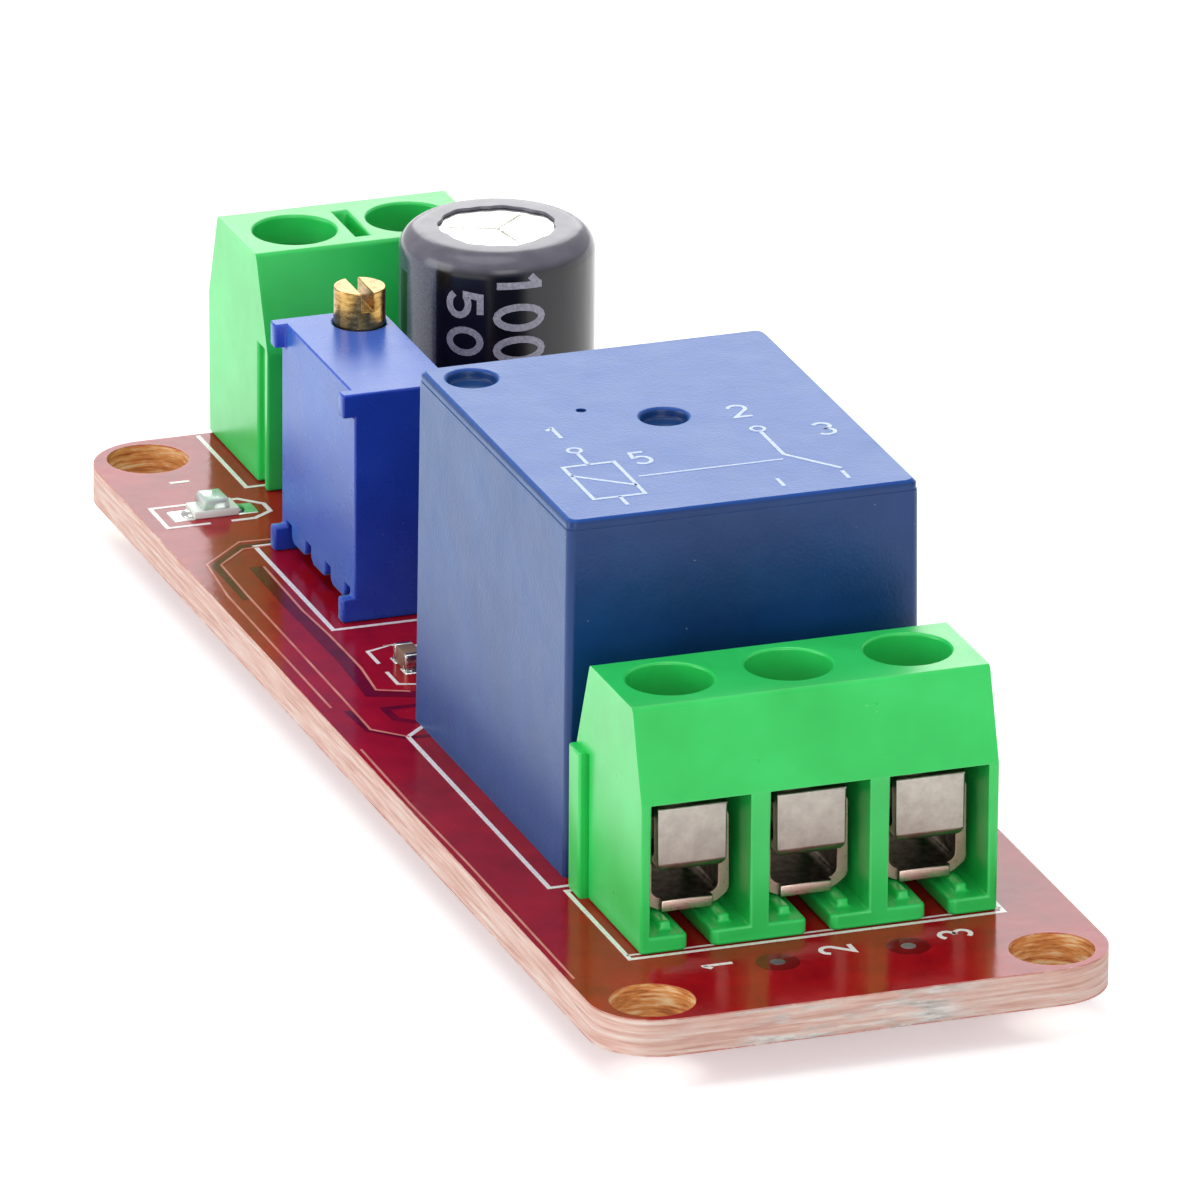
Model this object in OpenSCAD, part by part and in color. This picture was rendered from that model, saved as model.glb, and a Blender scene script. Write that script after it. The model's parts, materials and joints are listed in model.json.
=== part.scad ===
// Time-delay relay board: a relay, a three-way output terminal, a two-way supply
// terminal, a multi-turn trimmer and an electrolytic capacitor on a red circuit board.
// Millimetres. The origin is the centre of the four mounting holes on the board's
// underside; +Y runs from the output terminal to the supply terminal, +Z is up.

/* [Board] */
// Width of the circuit board
board_w = 22; // [21:0.5:40]
// Length of the circuit board
board_l = 68.5; // [66:0.5:100]
// Thickness of the circuit board
board_t = 1.6; // [0.8:0.1:2.4]
// Radius of the board's four corners
board_corner_r = 2.8; // [0.5:0.1:4]
// Diameter of a mounting hole
mount_hole_d = 3.5; // [2.2:0.1:4]
// Distance from a long edge to the mounting holes
mount_inset_x = 2.5; // [2.3:0.1:4]
// Distance from a short edge to the mounting holes
mount_inset_y = 2.15; // [2.1:0.05:4]
// Length of the leads below the board
lead_tail = 1.2; // [0.5:0.1:3]
// Depth of the solder below the lead ends
solder_cap = 0.3; // [0.1:0.05:0.6]
// Radius of a solder joint at the board
solder_pad_r = 1.15; // [0.9:0.05:1.25]
// Radius of a solder joint at its tip
solder_tip_r = 0.75; // [0.6:0.05:0.85]

/* [Screw terminals] */
// Distance between two ways of a terminal
term_pitch = 5.08; // [5:0.01:6]
// Height of a terminal housing
term_h = 10.2; // [9.6:0.1:13]
// Distance from the screw axis forward to the wire face
term_front = 3.88; // [3.7:0.01:5]
// Distance from the screw axis back to the rear face
term_rear = 3.95; // [3.6:0.01:5]
// Distance from the screw axis forward to the front edge of the top
term_top_front = 2.71; // [2.3:0.01:3.5]
// Distance from the screw axis back to the rear edge of the top
term_top_rear = 2.41; // [2.2:0.01:3.5]
// Rounding of the terminal's long edges
term_edge_r = 0.25; // [0.05:0.05:0.4]
// Width of a wire window
window_w = 4.25; // [4.2:0.05:4.6]
// Height of the top edge of a wire window
window_h = 6.38; // [6.1:0.01:6.8]
// Height of the clamp chamber behind the window
chamber_h = 7.6; // [7.3:0.05:8]
// Distance from the screw axis back to the chamber's rear wall
chamber_rear = 2.3; // [2.25:0.01:2.6]
// Thickness of the wall above a wire window
window_lip = 1; // [0.6:0.05:1.2]
// Thickness of the terminal's floor
floor_t = 0.7; // [0.6:0.01:1.1]
// Width of the slot in the floor that the contact pin slides in through
floor_slot_w = 1; // [0.95:0.01:1.4]
// Height of the two ridges that the cage stands on
ridge_h = 0.36; // [0.1:0.01:0.4]
// Width of a floor ridge
ridge_w = 0.52; // [0.3:0.01:0.6]
// Distance from the pole's centre to a floor ridge
ridge_x = 1.25; // [1:0.01:1.5]
// Diameter of the screwdriver hole
driver_hole_d = 3.55; // [3.5:0.01:4.2]
// Height of the joining rib on the terminal's left end
rib_h = 6.3; // [4:0.1:8]
// Length of the joining rib along the end wall
rib_l = 1.3; // [1:0.05:1.35]
// Projection of the joining rib
rib_out = 0.36; // [0.2:0.01:0.6]
// Width of the parting slot in the top of the supply terminal
top_slot_w = 0.6; // [0.3:0.05:0.8]
// Length of the parting slot in the top of the supply terminal
top_slot_l = 3.1; // [2:0.1:3.6]
// Depth of the parting slot in the top of the supply terminal
top_slot_depth = 1; // [0.3:0.1:2]

/* [Terminal clamps] */
// Thickness of the contact strip
contact_t = 0.5; // [0.3:0.01:0.6]
// Width of the contact strip inside the cage
contact_w = 2.5; // [1.8:0.05:2.7]
// Width of the tab at the front of the contact strip
tab_w = 2.95; // [2.5:0.05:3.4]
// Height of the contact strip's underside above the board
contact_z = 3; // [2.9:0.01:3.6]
// Height of the top of the tab above the board
tab_top = 5.8; // [5:0.05:6]
// Distance from the screw axis forward to the face of the tab
tab_front = 2.85; // [2.75:0.01:3.5]
// Inner bend radius of the contact strip
bend_r = 0.3; // [0.1:0.05:0.4]
// Outer radius of the bend below the tab
tab_bend_r = 0.4; // [0.1:0.05:0.7]
// Radius of the tab's two lower corners
tab_corner_r = 0.4; // [0.1:0.05:0.6]
// Width of a terminal's solder pin
term_pin_w = 0.9; // [0.6:0.05:0.94]
// Outer width of the cage
cage_w = 3.8; // [3.7:0.01:4]
// Length of the cage along the wire
cage_l = 3.6; // [3.4:0.05:3.7]
// Distance from the screw axis forward to the cage's front edge
cage_front = 2; // [1.9:0.01:2.1]
// Thickness of the cage strip
cage_t = 0.5; // [0.3:0.01:0.5]
// Thickness of the cage's threaded top, two layers of strip
cage_top_t = 1; // [0.6:0.05:1.1]
// Height of the room inside the cage
cage_room = 2.58; // [2.5:0.01:2.8]
// Outer corner radius of the cage's lower corners
cage_corner_r = 0.9; // [0.5:0.05:1.2]
// Width of the tongue at the front of the cage's floor
tongue_w = 2.2; // [1.6:0.05:2.4]
// Length of the tongue at the front of the cage's floor
tongue_l = 0.3; // [0.1:0.05:0.5]
// Diameter of a clamp screw's shank
shank_d = 2.7; // [2.4:0.05:2.75]
// Diameter of a clamp screw's head
head_d = 3.35; // [3.1:0.05:3.45]
// Height of a clamp screw's head
head_h = 1.3; // [0.8:0.05:1.5]
// Depth of an output screw's head below the top of its terminal
output_screw_drop = 1.6; // [0.9:0.05:1.8]
// Depth of a supply screw's head below the top of its terminal
supply_screw_drop = 1.25; // [0.9:0.05:1.8]
// Width of the driver slots in a screw head
driver_slot_w = 0.55; // [0.3:0.05:0.8]
// Depth of the driver slots in a screw head
driver_slot_depth = 0.7; // [0.3:0.05:0.75]

/* [Relay] */
// Width of the relay cover
relay_w = 15.3; // [15:0.1:18]
// Length of the relay cover
relay_l = 18.8; // [18.4:0.1:22]
// Height of the relay above the board
relay_h = 15.4; // [14.6:0.1:20]
// Wall thickness of the relay cover
cover_t = 0.9; // [0.5:0.05:1]
// How much narrower each side of the cover is at the top than at the board
cover_draft = 0.12; // [0:0.01:0.2]
// Height of the rim band below the cover's top
cover_band = 0.45; // [0.4:0.05:1.5]
// Bevel along the two long top edges of the cover
cover_bevel = 0.16; // [0.1:0.01:0.35]
// Radius of the cover's upright edges
cover_edge_r = 0.35; // [0.1:0.05:0.6]
// Diameter of the dimple in the corner of the cover's top
corner_dimple_d = 2.1; // [1:0.1:2.4]
// Diameter of the dimple near the middle of the cover's top
middle_dimple_d = 2; // [1:0.1:3]
// Depth of both dimples
dimple_depth = 0.5; // [0.1:0.05:0.6]
// Thickness of the relay's base plate
base_t = 1.9; // [1:0.1:2.2]
// Height of the base plate's underside above the board
base_lift = 0.3; // [0.1:0.05:0.6]
// Thickness of the iron yoke
yoke_t = 1.1; // [0.8:0.05:1.2]
// Width of the iron yoke
yoke_w = 9.6; // [8:0.1:10]
// Diameter of the coil's flanges
coil_d = 10.4; // [9:0.1:10.6]
// Thickness of a coil flange
flange_t = 0.6; // [0.4:0.05:0.9]
// Diameter of the winding
winding_d = 9.4; // [7:0.1:10.2]
// Diameter of the bobbin's barrel
barrel_d = 5.4; // [5.2:0.1:6.4]
// Diameter of the iron core
core_d = 4; // [3:0.1:4.4]
// Diameter of the core's pole face
pole_d = 6.4; // [5:0.1:7]
// Thickness of the core's pole face
pole_t = 0.9; // [0.5:0.05:1.2]
// Gap between the pole face and the released armature
pole_gap = 0.53; // [0.52:0.01:0.7]
// Turn of the armature from released to pulled in, in degrees
armature_turn = 3.2; // [2:0.1:3.2]
// Thickness of the armature
armature_t = 1; // [0.7:0.05:1.1]
// Width of the armature
armature_w = 10; // [8:0.1:11]
// Thickness of the contact spring
spring_t = 0.2; // [0.1:0.01:0.25]
// Width of the contact spring
spring_w = 5; // [3:0.1:6]
// Diameter of a relay contact
button_d = 2.6; // [2:0.1:2.8]
// Height of a relay contact
button_h = 0.4; // [0.3:0.01:0.45]
// Thickness of the fixed contact arms
arm_t = 0.5; // [0.4:0.05:0.6]
// Width of the fixed contact arms
arm_w = 2.2; // [1.6:0.1:2.6]
// Distance from the relay's middle to its side pins
relay_pin_x = 6; // [5.9:0.05:6.1]
// Distance from the relay's middle forward to its contact pins
contact_pin_y = 6.2; // [6:0.05:6.5]
// Diameter of the coil pins
coil_pin_d = 0.8; // [0.5:0.05:0.9]

/* [Capacitor] */
// Diameter of the capacitor over its sleeve
cap_d = 8.3; // [6.3:0.05:10]
// Height of the capacitor above the board
cap_h = 12.6; // [9:0.01:20]
// Thickness of the capacitor's sleeve
sleeve_t = 0.12; // [0.08:0.01:0.2]
// Radius of the capacitor's shoulder
cap_shoulder_r = 0.9; // [0.5:0.05:1.2]
// Diameter of the opening in the top of the sleeve
sleeve_hole_d = 4.9; // [3:0.1:5.2]
// Distance between the capacitor's leads
cap_lead_pitch = 3.5; // [2.5:0.1:4]
// Diameter of the capacitor's leads
cap_lead_d = 0.6; // [0.4:0.05:0.8]
// Depth of the vent score in the can's top
vent_depth = 0.12; // [0.05:0.01:0.3]

/* [Trimmer] */
// Width of the trimmer
trim_w = 4.83; // [4.4:0.01:5.4]
// Length of the trimmer
trim_l = 9.53; // [9:0.01:11]
// Height of the trimmer above the board
trim_h = 10.15; // [8:0.01:13]
// Depth of the recess in the trimmer's left face
trim_recess = 0.52; // [0.2:0.01:0.7]
// Length of a corner lug on the trimmer's left face
lug_l = 0.65; // [0.4:0.05:0.9]
// Height of a corner lug on the trimmer's left face
lug_h = 1.05; // [0.6:0.05:1.4]
// Diameter of the trimmer's brass screw
trim_screw_d = 2.2; // [1.8:0.05:2.4]
// Height of the brass screw above the trimmer
trim_screw_h = 1.6; // [1:0.05:2.2]
// Distance from the trimmer's sides to its screw
trim_screw_inset = 1.3; // [1.25:0.01:1.5]
// Distance between the trimmer's pins
trim_pin_pitch = 2.54; // [2.4:0.01:3]
// Height of the trimmer's underside above the board between its feet
trim_lift = 0.45; // [0.2:0.05:0.9]

/* [Layout] */
// Distance from the board's front edge to the output terminal's wire face
output_edge = 6.68; // [6:0.01:10]
// Overhang of the supply terminal's wire face past the board's rear edge
supply_overhang = 0.25; // [0:0.01:1]
// Offset of the output terminal to the right of the board's middle
output_x = 0.23; // [-0.5:0.01:0.5]
// Offset of the supply terminal to the right of the board's middle
supply_x = 0.14; // [-0.5:0.01:0.5]
// Offset of the relay to the right of the board's middle
relay_x = 0.1; // [-0.5:0.01:0.5]
// Gap between the output terminal and the relay
relay_gap = 0.94; // [0.5:0.01:2]
// Gap between the supply terminal and the trimmer
trim_gap = 6.09; // [5:0.01:7]
// Offset of the trimmer from the board's middle
trim_x = -4.46; // [-5:0.01:-4]
// Gap between the supply terminal and the capacitor
cap_gap = 0.3; // [0.3:0.05:1.5]
// Offset of the capacitor from the board's middle
cap_x = 3.77; // [3.5:0.01:5]

/* [Small parts] */
// Length of a light-emitting diode
led_l = 2; // [1.6:0.1:2.4]
// Width of a light-emitting diode
led_w = 1.25; // [0.8:0.05:1.4]
// Thickness of a light-emitting diode's base
led_base_t = 0.35; // [0.2:0.05:0.5]
// Length of a light-emitting diode's lens
led_lens_l = 1.25; // [0.8:0.05:1.4]
// Height of a light-emitting diode's lens
led_lens_h = 0.5; // [0.3:0.05:0.8]
// Length of a chip resistor or chip capacitor
chip_l = 1.6; // [1.2:0.1:2]
// Width of a chip resistor or chip capacitor
chip_w = 0.8; // [0.6:0.05:1]
// Length of the metal end of a chip
chip_end = 0.3; // [0.15:0.05:0.4]
// Thickness of a chip resistor
resistor_t = 0.45; // [0.3:0.05:0.6]
// Thickness of a chip capacitor
chip_cap_t = 0.75; // [0.5:0.05:0.9]
// Length of the timer chip's body
timer_l = 4.9; // [4.8:0.05:5.2]
// Width of the timer chip's body
timer_w = 3.9; // [3.6:0.05:4.2]
// Thickness of the timer chip's body
timer_t = 1.45; // [1.2:0.05:1.8]
// Distance between the timer chip's leads
timer_pitch = 1.27; // [1.2:0.01:1.3]
// Reach of the timer chip's leads beyond its body
timer_reach = 1.05; // [0.8:0.05:1.2]
// Length of the transistor's body
transistor_l = 2.9; // [2.7:0.05:3.1]
// Width of the transistor's body
transistor_w = 1.3; // [1.2:0.05:1.5]
// Thickness of the transistor's body
transistor_t = 1; // [0.8:0.05:1.2]
// Length of the diode's body
diode_l = 4.3; // [4:0.05:4.6]
// Width of the diode's body
diode_w = 2.6; // [2.4:0.05:2.9]
// Thickness of the diode's body
diode_t = 2.1; // [1.8:0.05:2.4]

/* [Hidden] */

$fn = 48;
// Overlap that keeps a cut from ending on a face
cut = 0.1;
// Clearance between two pieces that lie against each other but can move
slip = 0.02;
// Clearance between two fixed pieces inside a housing
inner_gap = 0.05;
// Clearance round a lead where it passes a hole in plastic or solder
lead_slip = 0.03;
// Clearance between a lead and its hole in the board
drill_slip = 0.15;
// Segments in a rounded corner of an outline
arc_steps = 6;

// Screw axes of the two terminals, along the board
output_y = -board_l / 2 + output_edge + term_front;
supply_y = board_l / 2 + supply_overhang - term_front;
output_ways = 3;
supply_ways = 2;

// Contacts and cages of the terminals, heights above the board
contact_top = contact_z + contact_t;
riser_rear = chamber_rear - inner_gap;
pin_y = riser_rear - contact_t / 2;
contact_foot = floor_t + 2 * inner_gap;
cage_z = floor_t + ridge_h + slip;
cage_h = cage_t + cage_room + cage_top_t;
screw_bore_d = shank_d + 2 * inner_gap;
term_drill_r = norm([term_pin_w, contact_t]) / 2 + drill_slip;

// Places of the larger parts
relay_y = output_y + term_rear + relay_gap + relay_l / 2;
relay_back = relay_y + relay_l / 2;
supply_near = supply_y - term_rear;
trim_y = supply_near - trim_gap - trim_l / 2;
cap_y = supply_near - cap_gap - cap_d / 2;

// Relay mechanism, measured from the middle of the relay on the board's top
cover_inner_w = relay_w - 2 * cover_t;
cover_inner_l = relay_l - 2 * cover_t;
cover_inner_h = relay_h - cover_t;
base_top = base_lift + base_t;
spring_room = 0.3;
upper_arm_top = cover_inner_h - spring_room;
upper_face = upper_arm_top - arm_t - button_h;
spring_top = upper_face - slip - button_h;
spring_z = spring_top - spring_t;
pivot_z = spring_z - armature_t;
tail_y = cover_inner_l / 2 - spring_room - spring_t;
tail_r = 0.3;
tail_l = 4;
yoke_rear = tail_y - inner_gap;
pivot_y = yoke_rear - yoke_t;
coil_gap = 0.25;
coil_y = pivot_y - coil_gap - coil_d / 2;
rivet_shoulder = 0.5;
rivet_d = core_d - 2 * rivet_shoulder;
pole_z = pivot_z - pole_gap;
leg_z = base_top + inner_gap;
bobbin_z = leg_z + yoke_t + inner_gap;
bobbin_top = pole_z - pole_t - inner_gap;
armature_lip = 0.4;
contact_reach = pivot_y + contact_pin_y;
contact_drop = (contact_reach + button_d / 2) * sin(armature_turn) + slip;
lower_face = spring_z - button_h - contact_drop;
armature_rear = tail_y - tail_r - slip;
armature_front = coil_y - pole_d / 2 - armature_lip;
com_y = pivot_y + yoke_t / 2;

// Trimmer screw, in the trimmer's own frame
trim_screw_x = trim_w / 2 - trim_screw_inset;
trim_screw_y = trim_l / 2 - trim_screw_inset;
trim_bore_depth = 6;
trim_pin_d = 0.5;
trim_wall = 0.6;
tooth_top = 1.3;
seal_w = trim_w - trim_recess - 2 * trim_wall - 2 * slip;
seal_l = trim_l - 2 * lug_l - 2 * slip;
seal_t = 1;

// Shoulder and foot of the capacitor's can
can_r = cap_d / 2 - sleeve_t - slip / 2;
can_z = 0.5;
can_t = 0.3;
can_mouth_l = 2;
bung_l = 1.6;

// Places of the small parts, [x, y] on the board. Those between the relay and the capacitor
// or the trimmer stand at a share of that room, so that they move with both.
cap_room = cap_y - cap_d / 2 - relay_back;
trim_room = trim_y - trim_l / 2 - relay_back;
right_x = board_w / 2 - 2.1;
power_led_at = [3.1 - board_w / 2, board_l / 2 - 9.1];
status_led_at = [right_x, relay_back + 0.36 * cap_room];
chip_caps_at = [[-5.8, relay_back + 0.52 * trim_room], [right_x, relay_back + 0.58 * cap_room]];
diode_at = [5.2, relay_back + 0.18 * cap_room];
timer_at = [4.6, relay_back + 0.6 * cap_room];
transistor_at = [0.5, relay_back + 0.26 * cap_room];
resistors_at = [[-3.5, relay_back + 0.45 * trim_room], [-1.5, relay_back + 0.45 * trim_room],
    [0.2, relay_back + 0.49 * cap_room], [0.2, relay_back + 0.65 * cap_room]];
lead_foot_l = 0.5;
lead_t = 0.2;
timer_lead_w = 0.4;

// ---------------------------------------------------------------- helpers

function unit(v) = v / norm(v);

// Arc of radius r that rounds the corner at b between a and c
function corner(a, b, c, r) =
    let(u = unit(a - b), v = unit(c - b), half = acos(u * v) / 2,
        centre = b + unit(u + v) * r / sin(half),
        first = b + u * r / tan(half) - centre,
        last = b + v * r / tan(half) - centre,
        start = atan2(first.y, first.x),
        raw = atan2(last.y, last.x) - start,
        turn = raw > 180 ? raw - 360 : raw < -180 ? raw + 360 : raw)
    [for (i = [0:arc_steps]) centre
        + r * [cos(start + turn * i / arc_steps), sin(start + turn * i / arc_steps)]];

// Outline through points with its corners rounded by radii
function rounded(points, radii) =
    let(n = len(points))
    [for (i = [0:n - 1]) each radii[i] == 0 ? [points[i]]
        : corner(points[(i + n - 1) % n], points[i], points[(i + 1) % n], radii[i])];

// Rectangle with round corners, centred
module round_rect(w, l, r) {
    square([w - 2 * r, l], center = true);
    square([w, l - 2 * r], center = true);
    for (sx = [-1, 1], sy = [-1, 1])
        translate([sx * (w / 2 - r), sy * (l / 2 - r)]) circle(r = r);
}

// Round-cornered rectangle as a ring of points at height z
function ring(w, l, r, z) = [for (point = rounded(
    [[-w / 2, -l / 2], [w / 2, -l / 2], [w / 2, l / 2], [-w / 2, l / 2]], [r, r, r, r]))
    [point.x, point.y, z]];

// Solid through rings of equally many points, from the lowest to the highest
module loft(rings) {
    n = len(rings[0]);
    top = (len(rings) - 1) * n;
    sides = [for (level = [0:len(rings) - 2], i = [0:n - 1])
        let(a = level * n + i, b = level * n + (i + 1) % n) each [[a, b + n, b], [a, a + n, b + n]]];
    polyhedron([for (level = rings) each level],
        concat([[for (i = [0:n - 1]) i]], [[for (i = [n - 1:-1:0]) top + i]], sides));
}

// Outline in Y and Z, extruded along X and centred
module along_x(width, points) {
    rotate([90, 0, 90]) linear_extrude(width, center = true) polygon(points);
}

// Outline in X and Z, extruded from y to y + length
module along_y(y, length, points) {
    translate([0, y + length, 0]) rotate([90, 0, 0]) linear_extrude(length) polygon(points);
}

// Box centred in X and Y, standing on z
module block(w, l, z, h) {
    translate([-w / 2, -l / 2, z]) cube([w, l, h]);
}

// X of one way of a terminal
function way_x(way, ways) = (way - (ways - 1) / 2) * term_pitch;

module at_output() { translate([output_x, output_y, board_t]) children(); }

// The supply terminal is turned so that its wires enter from the rear
module at_supply() { translate([supply_x, supply_y, board_t]) rotate(180) children(); }

module at_relay() { translate([relay_x, relay_y, board_t]) children(); }

module at_trimmer() { translate([trim_x, trim_y, board_t]) children(); }

module at_capacitor() { translate([cap_x, cap_y, board_t]) children(); }

// Puts a small part on the board at place [x, y]
module on_board(place, turn = 0) { translate([place.x, place.y, board_t]) rotate(turn) children(); }

// ---------------------------------------------------------------- leads

// Children at the pins of a terminal
module at_terminal_pins(ways) {
    for (way = [0:ways - 1]) translate([way_x(way, ways), pin_y, 0]) children();
}

// Children at the two contact pins of the relay
module at_contact_pins() {
    for (side = [-1, 1]) translate([side * relay_pin_x, -contact_pin_y, 0]) children();
}

// Children at the two coil pins of the relay
module at_coil_pins() {
    for (side = [-1, 1]) translate([side * relay_pin_x, contact_pin_y, 0]) children();
}

module at_trimmer_pins() {
    for (step = [-1:1]) translate([0, step * trim_pin_pitch, 0]) children();
}

module at_capacitor_leads() {
    for (side = [-1, 1]) translate([side * cap_lead_pitch / 2, 0, 0]) children();
}

// Flat lead from height top down to its end below the board
module flat_lead(w, t, top, grow = 0) {
    depth = board_t + lead_tail + grow;
    block(w + 2 * grow, t + 2 * grow, -depth, top + depth);
}

// Round lead from height top down to its end below the board
module round_lead(d, top, grow = 0) {
    depth = board_t + lead_tail + grow;
    translate([0, 0, -depth]) cylinder(d = d + 2 * grow, h = top + depth);
}

// Cone of solder with a hollow flank round a lead, under the board
module solder_cone() {
    steps = 5;
    depth = lead_tail + solder_cap;
    translate([0, 0, -board_t]) difference() {
        rotate_extrude() polygon(concat([[0, 0]],
            [for (i = [0:steps]) [solder_tip_r + (solder_pad_r - solder_tip_r) * pow(1 - i / steps, 2),
                -depth * i / steps]], [[0, -depth]]));
        translate([0, 0, board_t]) children();
    }
}

// ---------------------------------------------------------------- board

module lead_hole(r) { translate([0, 0, -board_t - cut]) cylinder(r = r, h = board_t + 2 * cut); }

module circuit_board() {
    hole_x = board_w / 2 - mount_inset_x;
    hole_y = board_l / 2 - mount_inset_y;
    color([0.62, 0.04, 0.08]) difference() {
        linear_extrude(board_t) round_rect(board_w, board_l, board_corner_r);
        for (sx = [-1, 1], sy = [-1, 1])
            translate([sx * hole_x, sy * hole_y, -cut]) cylinder(d = mount_hole_d, h = board_t + 2 * cut);
        at_output() at_terminal_pins(output_ways) lead_hole(term_drill_r);
        at_supply() at_terminal_pins(supply_ways) lead_hole(term_drill_r);
        at_relay() at_contact_pins() lead_hole(term_drill_r);
        at_relay() translate([0, com_y, 0]) lead_hole(term_drill_r);
        at_relay() at_coil_pins() lead_hole(coil_pin_d / 2 + drill_slip);
        at_trimmer() at_trimmer_pins() lead_hole(trim_pin_d / 2 + drill_slip);
        at_capacitor() at_capacitor_leads() lead_hole(cap_lead_d / 2 + drill_slip);
    }
}

module solder_joints() {
    color([0.72, 0.72, 0.7]) {
        at_output() at_terminal_pins(output_ways)
            solder_cone() flat_lead(term_pin_w, contact_t, 0, lead_slip);
        at_supply() at_terminal_pins(supply_ways)
            solder_cone() flat_lead(term_pin_w, contact_t, 0, lead_slip);
        at_relay() at_contact_pins() solder_cone() flat_lead(arm_t, term_pin_w, 0, lead_slip);
        at_relay() translate([0, com_y, 0]) solder_cone() flat_lead(term_pin_w, contact_t, 0, lead_slip);
        at_relay() at_coil_pins() solder_cone() round_lead(coil_pin_d, 0, lead_slip);
        at_trimmer() at_trimmer_pins() solder_cone() round_lead(trim_pin_d, 0, lead_slip);
        at_capacitor() at_capacitor_leads() solder_cone() round_lead(cap_lead_d, 0, lead_slip);
    }
}

// ---------------------------------------------------------------- screw terminals

// Rounding where the housing's upright faces start to lean in
lean_r = 1;

// Section of the housing across its ways: upright below, leaning in towards the top
function housing_section() = rounded(
    [[-term_front, 0], [-term_front, window_h], [-term_top_front, term_h],
        [term_top_rear, term_h], [term_rear, rib_h], [term_rear, 0]],
    [0, lean_r, term_edge_r, term_edge_r, lean_r, 0]);

// Everything that is open in one way: window, clamp chamber, driver hole and floor slot
module way_space() {
    chamfer = 0.2;
    translate([-window_w / 2, -term_front - cut, floor_t])
        cube([window_w, term_front + cut + chamber_rear, window_h - floor_t]);
    translate([-window_w / 2, -term_front + window_lip, floor_t])
        cube([window_w, term_front - window_lip + chamber_rear, chamber_h - floor_t]);
    translate([0, 0, chamber_h - cut]) cylinder(d = driver_hole_d, h = term_h - chamber_h + 2 * cut);
    translate([-floor_slot_w / 2, -term_front - cut, -cut])
        cube([floor_slot_w, term_front + cut + riser_rear + slip, floor_t + 2 * cut]);
    // Chamfer at the mouth of the floor slot
    translate([0, 0, -cut]) linear_extrude(floor_t + 2 * cut) polygon([
        [-floor_slot_w / 2 - chamfer - cut, -term_front - cut],
        [floor_slot_w / 2 + chamfer + cut, -term_front - cut],
        [floor_slot_w / 2, -term_front + chamfer], [-floor_slot_w / 2, -term_front + chamfer]]);
}

module floor_ridges() {
    ridge_setback = 0.7;
    ridge_start = ridge_setback - term_front;
    for (side = [-1, 1]) translate([side * ridge_x - ridge_w / 2, ridge_start, floor_t - cut])
        cube([ridge_w, riser_rear - contact_t - slip - ridge_start, ridge_h + cut]);
}

module terminal_housing(ways) {
    width = ways * term_pitch;
    rib_y = term_rear - rib_l;
    groove_w = 0.25;
    groove_depth = 0.2;
    socket_wall = 0.45;
    socket_l = rib_l - socket_wall;
    color([0.12, 0.72, 0.26]) {
        difference() {
            union() {
                along_x(width, housing_section());
                translate([-width / 2 - rib_out, rib_y, 0]) cube([rib_out + cut, rib_l, rib_h]);
            }
            for (way = [0:ways - 1]) translate([way_x(way, ways), 0, 0]) way_space();
            // Shadow groove beside the joining rib
            translate([-width / 2 - cut, rib_y - groove_w, -cut])
                cube([cut + groove_depth, groove_w, rib_h + cut]);
            // Groove in the right end that takes the next terminal's rib
            translate([width / 2 - rib_out, rib_y, -cut]) cube([rib_out + cut, socket_l, rib_h + cut]);
            children();
        }
        for (way = [0:ways - 1]) translate([way_x(way, ways), 0, 0]) floor_ridges();
    }
}

// Parting slot between two ways, in the top
module top_slot() {
    translate([-top_slot_w / 2, -top_slot_l / 2, term_h - top_slot_depth])
        cube([top_slot_w, top_slot_l, top_slot_depth + cut]);
}

// Bent contact strip: solder pin, riser, strip through the cage and tab in the window
module contact() {
    inner = riser_rear - contact_t;
    outer_r = bend_r + contact_t;
    tip_r = 0.12;
    tab_y = -tab_front - cut;
    tab_l = tab_front - cage_front - 2 * inner_gap;
    section = rounded(
        [[riser_rear, contact_foot], [riser_rear, contact_top], [-tab_front + contact_t, contact_top],
            [-tab_front + contact_t, tab_top], [-tab_front, tab_top], [-tab_front, contact_z],
            [inner, contact_z], [inner, contact_foot]],
        [0, outer_r, bend_r, tip_r, tip_r, tab_bend_r, bend_r, 0]);
    union() {
        difference() {
            along_x(contact_w, section);
            translate([0, tab_y, 0]) block(2 * tab_w, tab_l, 0, term_h);
        }
        intersection() {
            along_x(tab_w, section);
            along_y(tab_y, tab_l + cut, rounded(
                [[-tab_w / 2, contact_z], [tab_w / 2, contact_z],
                    [tab_w / 2, tab_top + cut], [-tab_w / 2, tab_top + cut]],
                [tab_corner_r, tab_corner_r, 0, 0]));
        }
        translate([0, pin_y, 0]) flat_lead(term_pin_w, contact_t, contact_foot + cut);
    }
}
module contacts(ways) {
    color([0.74, 0.72, 0.7])
        for (way = [0:ways - 1]) translate([way_x(way, ways), 0, 0]) contact();
}

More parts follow.
